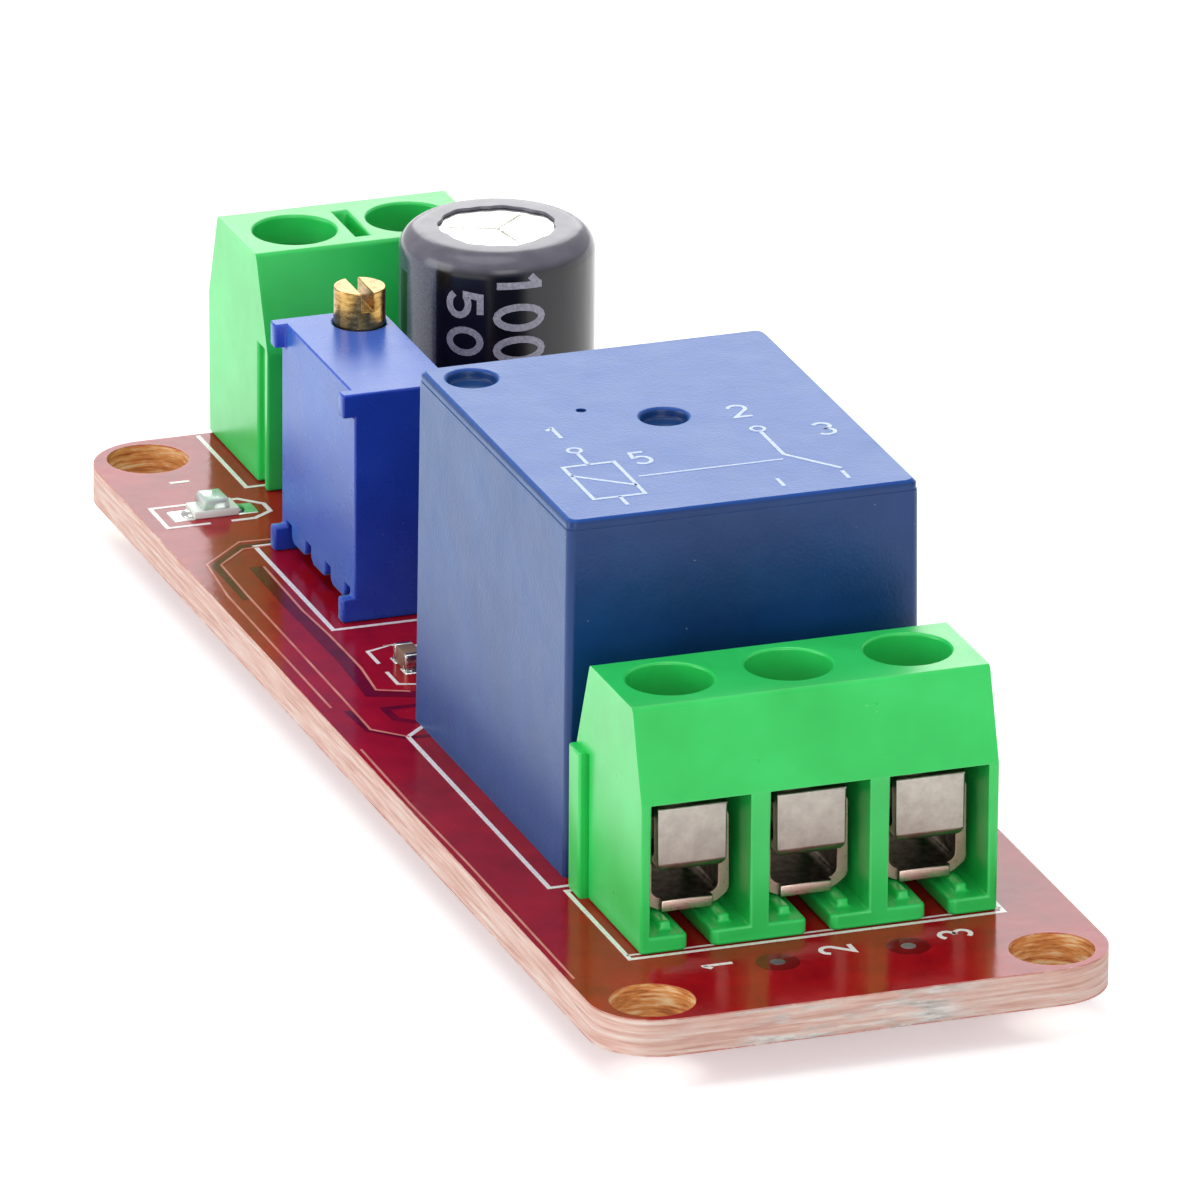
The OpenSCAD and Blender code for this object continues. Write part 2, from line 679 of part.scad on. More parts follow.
// Cage that the screw pulls up against the contact strip, open at both ends
module cage() {
    half = cage_w / 2;
    top_r = 0.4;
    inner_r = cage_corner_r - cage_t;
    floor_z = cage_z + cage_t;
    color([0.66, 0.65, 0.64]) difference() {
        union() {
            along_y(-cage_front, cage_l, rounded(
                [[-half, cage_z], [half, cage_z], [half, cage_z + cage_h], [-half, cage_z + cage_h]],
                [cage_corner_r, cage_corner_r, top_r, top_r]));
            translate([-tongue_w / 2, -cage_front - tongue_l, cage_z])
                cube([tongue_w, tongue_l + cut, cage_t]);
        }
        along_y(-cage_front - cut, cage_l + 2 * cut, rounded(
            [[-half + cage_t, floor_z], [half - cage_t, floor_z],
                [half - cage_t, floor_z + cage_room], [-half + cage_t, floor_z + cage_room]],
            [inner_r, inner_r, 0, 0]));
        translate([0, 0, floor_z + cage_room - cut])
            cylinder(d = screw_bore_d, h = cage_top_t + 2 * cut);
        translate([0, -cage_front - tongue_l - cut, floor_z])
            block(cage_w, 2 * tongue_l, 0, cage_room / 2);
    }
}

// Clamp screw with a cross-slotted cheese head; its tip stands on the contact strip
module clamp_screw(drop) {
    top = term_h - drop;
    foot = contact_top + slip + max(output_screw_drop - drop, 0);
    slot_end = 0.3;
    slot_l = head_d - 2 * slot_end;
    color([0.7, 0.69, 0.68]) difference() {
        union() {
            translate([0, 0, top - head_h]) cylinder(d = head_d, h = head_h);
            translate([0, 0, foot]) cylinder(d = shank_d, h = top - head_h / 2 - foot);
        }
        block(head_d + cut, driver_slot_w, top - driver_slot_depth, driver_slot_depth + cut);
        block(driver_slot_w, slot_l, top - driver_slot_depth, driver_slot_depth + cut);
    }
}

module output_housing() { at_output() terminal_housing(output_ways); }
module output_contacts() { at_output() contacts(output_ways); }
module output_cage(way) { at_output() translate([way_x(way, output_ways), 0, 0]) cage(); }
module output_screw(way) {
    at_output() translate([way_x(way, output_ways), 0, 0]) clamp_screw(output_screw_drop);
}

module supply_housing() { at_supply() terminal_housing(supply_ways) top_slot(); }
module supply_contacts() { at_supply() contacts(supply_ways); }
module supply_cage(way) { at_supply() translate([way_x(way, supply_ways), 0, 0]) cage(); }
module supply_screw(way) {
    at_supply() translate([way_x(way, supply_ways), 0, 0]) clamp_screw(supply_screw_drop);
}

// ---------------------------------------------------------------- relay

// Drafted outside of the cover: skirt, rim band set in by a small step, bevelled top
module cover_outside() {
    band_step = 0.04;
    end_bevel = 0.12;
    band_z = relay_h - cover_band;
    top_w = relay_w - 2 * cover_draft;
    top_l = relay_l - 2 * cover_draft;
    rim_w = top_w - 2 * band_step;
    rim_l = top_l - 2 * band_step;
    loft([
        ring(relay_w, relay_l, cover_edge_r, 0),
        ring(top_w, top_l, cover_edge_r, band_z),
        ring(rim_w, rim_l, cover_edge_r, band_z),
        ring(rim_w, rim_l, cover_edge_r, relay_h - cover_bevel),
        ring(rim_w - 2 * cover_bevel, rim_l - 2 * end_bevel, cover_edge_r, relay_h)]);
}

module relay_cover() {
    corner_inset = 1.85;
    spot = [-2.8, 2.6];
    spot_d = 0.45;
    spot_depth = 0.15;
    middle = [0.17, 0.87];
    color([0.2, 0.36, 0.68]) at_relay() difference() {
        cover_outside();
        block(cover_inner_w, cover_inner_l, -cut, cover_inner_h + cut);
        translate([corner_inset - relay_w / 2, relay_l / 2 - corner_inset, relay_h - dimple_depth])
            cylinder(d = corner_dimple_d, h = dimple_depth + cut);
        translate([middle.x, middle.y, relay_h - dimple_depth])
            cylinder(d = middle_dimple_d, h = dimple_depth + cut);
        translate([spot.x, spot.y, relay_h - spot_depth]) cylinder(d = spot_d, h = spot_depth + cut);
    }
}

module relay_base() {
    color([0.12, 0.16, 0.3]) at_relay() difference() {
        block(cover_inner_w - 2 * slip, cover_inner_l - 2 * slip, base_lift, base_t);
        at_contact_pins() flat_lead(arm_t, term_pin_w, relay_h, lead_slip);
        at_coil_pins() round_lead(coil_pin_d, relay_h, lead_slip);
        translate([0, com_y, 0]) flat_lead(term_pin_w, contact_t, relay_h, lead_slip);
    }
}

// L-shaped iron under and behind the coil
module relay_yoke() {
    core_margin = 1;
    leg_front = coil_y - core_d / 2 - core_margin;
    bend_outer_r = 0.8;
    bend_inner_r = 0.2;
    color([0.55, 0.55, 0.56]) at_relay() difference() {
        along_x(yoke_w, rounded(
            [[leg_front, leg_z], [yoke_rear, leg_z], [yoke_rear, pivot_z - slip],
                [pivot_y, pivot_z - slip], [pivot_y, leg_z + yoke_t], [leg_front, leg_z + yoke_t]],
            [0, bend_outer_r, 0, 0, bend_inner_r, 0]));
        translate([0, coil_y, leg_z - cut]) cylinder(d = rivet_d + 2 * slip, h = yoke_t + 2 * cut);
    }
}

// Iron core: riveted foot, shaft and pole face
module relay_core() {
    color([0.6, 0.6, 0.61]) at_relay() translate([0, coil_y, 0]) {
        translate([0, 0, leg_z + slip]) cylinder(d = rivet_d, h = yoke_t);
        translate([0, 0, leg_z + yoke_t + slip])
            cylinder(d = core_d, h = pole_z - pole_t - leg_z - yoke_t);
        translate([0, 0, pole_z - pole_t]) cylinder(d = pole_d, h = pole_t);
    }
}

module relay_bobbin() {
    color([0.9, 0.9, 0.86]) at_relay() translate([0, coil_y, 0]) difference() {
        union() {
            translate([0, 0, bobbin_z]) cylinder(d = coil_d, h = flange_t);
            translate([0, 0, bobbin_z]) cylinder(d = barrel_d, h = bobbin_top - bobbin_z);
            translate([0, 0, bobbin_top - flange_t]) cylinder(d = coil_d, h = flange_t);
        }
        translate([0, 0, bobbin_z - cut])
            cylinder(d = core_d + 2 * inner_gap, h = bobbin_top - bobbin_z + 2 * cut);
    }
}

module relay_winding() {
    low = bobbin_z + flange_t + slip;
    height = bobbin_top - flange_t - slip - low;
    color([0.72, 0.36, 0.16]) at_relay() translate([0, coil_y, low]) difference() {
        cylinder(d = winding_d, h = height);
        translate([0, 0, -cut]) cylinder(d = barrel_d + 2 * slip, h = height + 2 * cut);
    }
}

// Armature plate lying on the yoke's edge over the pole face
module relay_armature() {
    color([0.6, 0.6, 0.61]) at_relay() translate([-armature_w / 2, armature_front, pivot_z])
        cube([armature_w, armature_rear - armature_front, armature_t]);
}

// Flat spring on the armature: contact end in front, tail bent down behind the yoke
module relay_spring() {
    front_margin = 0.2;
    front = -contact_pin_y - button_d / 2 - front_margin;
    section = rounded(
        [[front, spring_z], [tail_y, spring_z], [tail_y, spring_top - tail_l],
            [tail_y + spring_t, spring_top - tail_l], [tail_y + spring_t, spring_top], [front, spring_top]],
        [0, tail_r, 0, 0, tail_r + spring_t, 0]);
    color([0.78, 0.55, 0.3]) at_relay() difference() {
        along_x(spring_w, section);
        translate([0, -contact_pin_y, spring_z - cut])
            cylinder(d = button_d / 2 + 2 * slip, h = spring_t + 2 * cut);
    }
}

// Double-faced contact riveted through the spring
module relay_moving_contact() {
    color([0.8, 0.8, 0.78]) at_relay() translate([0, -contact_pin_y, 0]) {
        translate([0, 0, spring_z - button_h]) cylinder(d = button_d, h = button_h);
        translate([0, 0, spring_z - cut]) cylinder(d = button_d / 2, h = spring_t + 2 * cut);
        translate([0, 0, spring_top]) cylinder(d = button_d, h = button_h);
    }
}

// Fixed contact on the left or right: pin, upright, arm and a face above or below the arm
module fixed_contact(side, arm_z, face_up) {
    reach = relay_pin_x + button_d / 2;
    foot_z = base_top + slip;
    face_z = face_up ? arm_z + arm_t - cut : arm_z - button_h;
    color([0.76, 0.6, 0.36]) at_relay() translate([0, -contact_pin_y, 0]) {
        translate([side * relay_pin_x, 0, 0]) flat_lead(arm_t, term_pin_w, foot_z + cut);
        translate([side * relay_pin_x, 0, 0]) block(arm_t, arm_w, foot_z, arm_z + arm_t - foot_z);
        translate([side * (relay_pin_x - reach / 2), 0, 0]) block(reach, arm_w, arm_z, arm_t);
        translate([0, 0, face_z]) cylinder(d = button_d, h = button_h + cut);
    }
}

// The upper contact faces down and is closed at rest; the lower one faces up
module relay_upper_contact() { fixed_contact(-1, upper_arm_top - arm_t, false); }
module relay_lower_contact() { fixed_contact(1, lower_face - button_h - arm_t, true); }

module relay_common_pin() {
    color([0.74, 0.6, 0.4]) at_relay() translate([0, com_y, 0]) flat_lead(term_pin_w, contact_t, base_top);
}

module relay_coil_pins() {
    stub = 1.5;
    color([0.74, 0.72, 0.7]) at_relay() at_coil_pins() round_lead(coil_pin_d, base_top + stub);
}

// ---------------------------------------------------------------- capacitor

module capacitor_can() {
    height = cap_h - sleeve_t - slip - can_z;
    arms = 3;
    first_arm = 70;
    arm_w = 0.2;
    arm_margin = 0.35;
    arm_len = sleeve_hole_d / 2 - arm_margin;
    foot_r = 0.2;
    color([0.86, 0.86, 0.85]) at_capacitor() translate([0, 0, can_z]) difference() {
        rotate_extrude() polygon(rounded(
            [[0, 0], [can_r, 0], [can_r, height], [0, height]], [0, foot_r, cap_shoulder_r, 0]));
        translate([0, 0, -cut]) cylinder(r = can_r - can_t, h = can_mouth_l);
        for (arm = [0:arms - 1]) rotate(first_arm + arm * 360 / arms)
            translate([-arm_w / 2, -arm_w / 2, height - vent_depth])
                cube([arm_w, arm_len, vent_depth + cut]);
    }
}

// Shrunk plastic sleeve, rolled in over the shoulder and under the foot
module capacitor_sleeve() {
    outer = cap_d / 2;
    lip_w = 0.6;
    foot_r = 0.2;
    inner_foot_r = 0.1;
    lip_r = 0.05;
    under = can_z - slip;
    over = cap_h - sleeve_t;
    color([0.06, 0.06, 0.09]) at_capacitor() difference() {
        rotate_extrude() polygon(rounded(
            [[outer - lip_w, under - sleeve_t], [outer, under - sleeve_t], [outer, over + sleeve_t],
                [sleeve_hole_d / 2, over + sleeve_t], [sleeve_hole_d / 2, over],
                [outer - sleeve_t, over], [outer - sleeve_t, under], [outer - lip_w, under]],
            [0, foot_r, cap_shoulder_r + sleeve_t, lip_r, 0, cap_shoulder_r, inner_foot_r, 0]));
        translate([0, 0, under - sleeve_t - cut]) cylinder(r = outer - lip_w, h = sleeve_t);
    }
}

// Rubber plug in the foot of the can, standing on the board
module capacitor_bung() {
    foot_inset = 0.6;
    color([0.14, 0.14, 0.15]) at_capacitor() difference() {
        union() {
            cylinder(r = can_r - can_t - foot_inset, h = can_z);
            translate([0, 0, can_z]) cylinder(r = can_r - can_t - slip, h = bung_l);
        }
        at_capacitor_leads() round_lead(cap_lead_d, can_z + bung_l + cut, lead_slip);
    }
}

module capacitor_leads() {
    cover = 0.2;
    lead_top = can_z + bung_l - cover;
    color([0.78, 0.78, 0.76]) at_capacitor() at_capacitor_leads() round_lead(cap_lead_d, lead_top);
}

// ---------------------------------------------------------------- trimmer

// Moulded block with a recessed left face between four corner lugs, two end feet and
// three rounded teeth along the recessed wall's lower edge
module trimmer_housing() {
    core_w = trim_w - trim_recess;
    tooth_z = 0.6;
    tooth_gap = 0.6;
    tooth_w = trim_pin_pitch - tooth_gap;
    tooth_r = 0.4;
    color([0.12, 0.2, 0.62]) at_trimmer() {
        difference() {
            union() {
                translate([trim_recess / 2, 0, 0]) block(core_w, trim_l, 0, trim_h);
                for (sy = [-1, 1], z = [0, trim_h - lug_h])
                    translate([-trim_w / 2, sy * (trim_l - lug_l) / 2 - lug_l / 2, z])
                        cube([trim_recess + cut, lug_l, lug_h]);
            }
            // Underside raised between the feet, more so in the toothed wall
            block(trim_w + 2 * cut, trim_l - 2 * lug_l, -cut, trim_lift + cut);
            translate([-trim_w / 2 - cut, lug_l - trim_l / 2, -cut])
                cube([trim_recess + trim_wall + cut, trim_l - 2 * lug_l, tooth_top + cut]);
            // Hollow that the seal fills
            translate([trim_recess / 2, 0, 0]) block(seal_w, seal_l, 0, trim_lift + seal_t);
            translate([trim_screw_x, trim_screw_y, trim_h - trim_bore_depth])
                cylinder(d = trim_screw_d + 2 * inner_gap, h = trim_bore_depth + cut);
        }
        for (step = [-1:1]) translate([-trim_w / 2 + trim_recess + trim_wall / 2, step * trim_pin_pitch, 0])
            along_x(trim_wall, rounded(
                [[-tooth_w / 2, tooth_z], [tooth_w / 2, tooth_z],
                    [tooth_w / 2, tooth_top + cut], [-tooth_w / 2, tooth_top + cut]],
                [tooth_r, tooth_r, 0, 0]));
    }
}

module trimmer_seal() {
    color([0.2, 0.28, 0.6]) at_trimmer() difference() {
        translate([trim_recess / 2, 0, 0])
            block(seal_w - 2 * slip, seal_l - 2 * slip, trim_lift, seal_t - slip);
        at_trimmer_pins() round_lead(trim_pin_d, trim_h, lead_slip);
    }
}

module trimmer_screw() {
    slot_w = 0.52;
    slot_depth = 0.8;
    top = trim_h + trim_screw_h;
    color([0.8, 0.64, 0.3]) at_trimmer() translate([trim_screw_x, trim_screw_y, 0]) difference() {
        translate([0, 0, trim_h - trim_bore_depth + slip])
            cylinder(d = trim_screw_d, h = trim_bore_depth + trim_screw_h - slip);
        block(slot_w, trim_screw_d + cut, top - slot_depth, slot_depth + cut);
    }
}

module trimmer_pins() {
    color([0.78, 0.78, 0.76]) at_trimmer() at_trimmer_pins()
        round_lead(trim_pin_d, trim_lift + seal_t - slip);
}

// ---------------------------------------------------------------- small parts

module led_base() { color([0.9, 0.92, 0.88]) block(led_l, led_w, 0, led_base_t); }

// Clear lens with sloping ends
module led_lens() {
    foot = led_lens_l / 2;
    slope = 0.12;
    crown = foot - slope;
    color([0.85, 0.93, 0.9, 0.6]) along_y(-led_w / 2, led_w,
        [[-foot, led_base_t], [foot, led_base_t], [crown, led_base_t + led_lens_h],
            [-crown, led_base_t + led_lens_h]]);
}

module power_led_base() { on_board(power_led_at) led_base(); }
module power_led_lens() { on_board(power_led_at) led_lens(); }
module status_led_base() { on_board(status_led_at, 90) led_base(); }
module status_led_lens() { on_board(status_led_at, 90) led_lens(); }

// Middle of a chip, its long way along Y
module chip_middle(t) { block(chip_w, chip_l - 2 * chip_end, 0, t); }

// Two metal ends of a chip
module chip_ends(t) {
    for (side = [-1, 1]) translate([0, side * (chip_l - chip_end) / 2, 0])
        block(chip_w, chip_end, 0, t);
}

module resistor_bodies() {
    color([0.08, 0.08, 0.09]) for (place = resistors_at) on_board(place) chip_middle(resistor_t);
}
module resistor_ends() {
    color([0.78, 0.78, 0.77]) for (place = resistors_at) on_board(place) chip_ends(resistor_t);
}
module chip_capacitor_bodies() {
    color([0.6, 0.48, 0.4]) for (place = chip_caps_at) on_board(place) chip_middle(chip_cap_t);
}
module chip_capacitor_ends() {
    color([0.78, 0.78, 0.77]) for (place = chip_caps_at) on_board(place) chip_ends(chip_cap_t);
}

// Gull-wing lead leaving a body at x = 0 towards +X, at height z
module gull_lead(width, reach, z) {
    knee = reach - lead_foot_l;
    outer_r = 0.1;
    inner_r = 0.08;
    rotate(90) mirror([0, 1, 0]) along_x(width, rounded(
        [[0, z], [knee, z], [knee, 0], [reach, 0], [reach, lead_t], [knee + lead_t, lead_t],
            [knee + lead_t, z + lead_t], [0, z + lead_t]],
        [0, inner_r, outer_r, 0, 0, inner_r, outer_r, 0]));
}

// Plastic body with sides that slope out to the parting line at half height
module moulded_body(w, l, z, t) {
    slope = 0.12;
    mid = z + t / 2;
    intersection() {
        along_x(w, [[-l / 2 + slope, z], [l / 2 - slope, z], [l / 2, mid], [l / 2 - slope, z + t],
            [-l / 2 + slope, z + t], [-l / 2, mid]]);
        along_y(-l / 2, l, [[-w / 2 + slope, z], [w / 2 - slope, z], [w / 2, mid], [w / 2 - slope, z + t],
            [-w / 2 + slope, z + t], [-w / 2, mid]]);
    }
}

module timer_body() {
    stand_off = 0.1;
    mark_d = 0.7;
    mark_inset = 0.75;
    mark_depth = 0.1;
    color([0.1, 0.1, 0.11]) on_board(timer_at) difference() {
        moulded_body(timer_w, timer_l, stand_off, timer_t);
        translate([mark_inset - timer_w / 2, timer_l / 2 - mark_inset, stand_off + timer_t - mark_depth])
            cylinder(d = mark_d, h = mark_depth + cut);
    }
}

module timer_leads() {
    color([0.8, 0.8, 0.79]) on_board(timer_at) for (turn = [0, 180], step = [0:3])
        rotate(turn) translate([timer_w / 2, (step - 1.5) * timer_pitch, 0])
            gull_lead(timer_lead_w, timer_reach, timer_t / 2);
}

module transistor_body() {
    color([0.1, 0.1, 0.11]) on_board(transistor_at)
        moulded_body(transistor_w, transistor_l, inner_gap, transistor_t);
}

// One lead on one side and two on the other
module transistor_leads() {
    reach = 0.75;
    spread = 0.95;
    color([0.8, 0.8, 0.79]) on_board(transistor_at) for (lead = [[0, 0], [180, -spread], [180, spread]])
        rotate(lead[0]) translate([transistor_w / 2, lead[1], 0])
            gull_lead(timer_lead_w, reach, transistor_t / 2);
}

module diode_body() {
    color([0.1, 0.1, 0.11]) on_board(diode_at) moulded_body(diode_l, diode_w, lead_t, diode_t);
}

// Strip leads folded round the ends and under the body
module diode_leads() {
    strip_w = 1.4;
    fold = 1.1;
    mid = lead_t + diode_t / 2;
    start = diode_l / 2 + slip;
    color([0.8, 0.8, 0.79]) on_board(diode_at) for (turn = [0, 180]) rotate(turn)
        along_y(-strip_w / 2, strip_w, [
            [start - fold, 0], [start + lead_t, 0], [start + lead_t, mid], [start, mid],
            [start, lead_t - slip], [start - fold, lead_t - slip]]);
}

// ---------------------------------------------------------------- output

circuit_board();
solder_joints();
output_housing();
output_contacts();
output_cage(0);  // output_cage_1
output_cage(1);  // output_cage_2
output_cage(2);  // output_cage_3
output_screw(0);  // output_screw_1
output_screw(1);  // output_screw_2
output_screw(2);  // output_screw_3
supply_housing();
supply_contacts();
supply_cage(0);  // supply_cage_1
supply_cage(1);  // supply_cage_2
supply_screw(0);  // supply_screw_1
supply_screw(1);  // supply_screw_2
relay_cover();
relay_base();
relay_yoke();
relay_core();
relay_bobbin();
relay_winding();
relay_armature();
relay_spring();
relay_moving_contact();
relay_upper_contact();
relay_lower_contact();
relay_common_pin();
relay_coil_pins();
capacitor_can();
capacitor_sleeve();
capacitor_bung();
capacitor_leads();
trimmer_housing();
trimmer_seal();
trimmer_screw();
trimmer_pins();
power_led_base();
power_led_lens();
status_led_base();
status_led_lens();
timer_body();
timer_leads();
transistor_body();
transistor_leads();
diode_body();
diode_leads();
resistor_bodies();
resistor_ends();
chip_capacitor_bodies();
chip_capacitor_ends();
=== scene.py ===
import json
import math

import bmesh
import bpy
from mathutils import Matrix, Vector
from mathutils.bvhtree import BVHTree

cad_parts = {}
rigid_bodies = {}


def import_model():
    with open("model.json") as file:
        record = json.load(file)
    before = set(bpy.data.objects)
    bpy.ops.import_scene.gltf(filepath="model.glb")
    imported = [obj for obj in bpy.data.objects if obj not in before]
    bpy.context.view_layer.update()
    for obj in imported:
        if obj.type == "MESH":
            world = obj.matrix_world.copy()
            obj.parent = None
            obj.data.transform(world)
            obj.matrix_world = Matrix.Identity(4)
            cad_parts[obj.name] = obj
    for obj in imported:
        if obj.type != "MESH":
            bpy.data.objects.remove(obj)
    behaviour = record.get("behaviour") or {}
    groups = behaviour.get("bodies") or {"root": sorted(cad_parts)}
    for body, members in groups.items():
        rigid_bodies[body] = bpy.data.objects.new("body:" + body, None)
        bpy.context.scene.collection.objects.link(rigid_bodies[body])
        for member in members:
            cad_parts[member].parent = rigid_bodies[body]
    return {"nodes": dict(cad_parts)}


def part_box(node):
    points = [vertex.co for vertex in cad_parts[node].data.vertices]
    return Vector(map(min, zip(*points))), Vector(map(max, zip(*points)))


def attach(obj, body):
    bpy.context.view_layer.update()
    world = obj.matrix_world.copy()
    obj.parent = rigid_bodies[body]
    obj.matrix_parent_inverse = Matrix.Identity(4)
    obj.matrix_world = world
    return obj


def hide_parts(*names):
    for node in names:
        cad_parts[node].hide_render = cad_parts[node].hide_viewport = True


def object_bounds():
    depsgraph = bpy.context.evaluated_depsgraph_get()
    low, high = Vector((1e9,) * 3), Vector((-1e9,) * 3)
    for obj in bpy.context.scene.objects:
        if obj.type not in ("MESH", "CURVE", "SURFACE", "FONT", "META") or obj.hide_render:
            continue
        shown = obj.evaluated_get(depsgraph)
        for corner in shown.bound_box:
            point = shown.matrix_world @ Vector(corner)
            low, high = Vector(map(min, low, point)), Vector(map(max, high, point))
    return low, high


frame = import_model()
cad_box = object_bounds()

# Lengths below are in millimetres and become metres where a mesh is made.
MM = 0.001
LINE_W = 0.2  # width of a printed outline
THIN_W = 0.16  # width of an outline round a small part
INK_T = 0.012  # thickness of the print
MASK_T = 0.03  # step of the solder mask over a copper edge
HOLE_INSET = (2.5, 2.15)  # from the board's edges to a mounting hole's centre
HOLE_R = 1.75
FILM_T, SHOULDER_R, MOUTH_R, FOOT_LIP = 0.12, 1.02, 2.45, 0.6  # sleeve: film, shoulder, mouth, foot
FOOT_R, LIP = 0.2, 0.03  # sleeve: rounding of its foot, cut corner of its mouth
SHELL_STEPS, SHOULDER_STEPS, FOOT_STEPS = 112, 14, 6
DOME_RINGS, DOME_STEPS = 5, 20
WAVES = ((0.07, 3, 1), (0.05, 7, 0), (0.03, 16, 2))  # sleeve's mouth: height, count and phase of each wave
STRIPE_HALF = 33.0  # half width of the capacitor's stripe, in degrees round the sleeve's -X side
DASH_HALF = 5.5  # half width of its dashes, in degrees
DASH, DASH_TOP, DASH_PITCH = 3.4, 1.5, 5.0  # length of a dash, its depth below the top, and the pitch
WIRE_PITCH = 0.12  # of the relay's winding
TOUCH = 0.001  # points nearer than this count as one
SHARP_TURN = 28  # an edge is rounded if its faces turn by more than this, in degrees
SHORTEST, REACH = 0.6, 1.6  # shortest rounded edge, and reach of a fault, in widths of the rounding
TRIALS = 8  # at rounding a node's edges
SHARPEST = 0.35  # least cosine of half a corner's turn that a printed line is mitred for
PLATE_SLOPE = 0.05  # run of the mask's step over a copper edge
STROKE_PIECE = 0.3  # longest straight piece of a stroke, so that it follows a curved part


def span(node):
    """Lowest and highest corner of a CAD node, in millimetres."""
    low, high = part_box(node)
    return low / MM, high / MM


BOARD_LOW, BOARD_HIGH = span("circuit_board")
TOP = BOARD_HIGH.z
RELAY_LOW, RELAY_HIGH = span("relay_cover")
OUTPUT_LOW, OUTPUT_HIGH = span("output_housing")
SUPPLY_LOW, SUPPLY_HIGH = span("supply_housing")
TRIMMER_LOW, TRIMMER_HIGH = span("trimmer_housing")
SLEEVE_LOW, SLEEVE_HIGH = span("capacitor_sleeve")
SLEEVE_MIDDLE = (SLEEVE_LOW + SLEEVE_HIGH) / 2
SLEEVE_R = (SLEEVE_HIGH.x - SLEEVE_LOW.x) / 2
HOLE_X, HOLE_Y = BOARD_HIGH.x - HOLE_INSET[0], BOARD_HIGH.y - HOLE_INSET[1]


# ------------------------------------------------------------------ materials


def srgb(red, green, blue):
    """Linear colour of an 8-bit screen colour."""
    parts = [v / 255 for v in (red, green, blue)]
    return (*[v / 12.92 if v <= 0.04045 else ((v + 0.055) / 1.055) ** 2.4 for v in parts], 1)


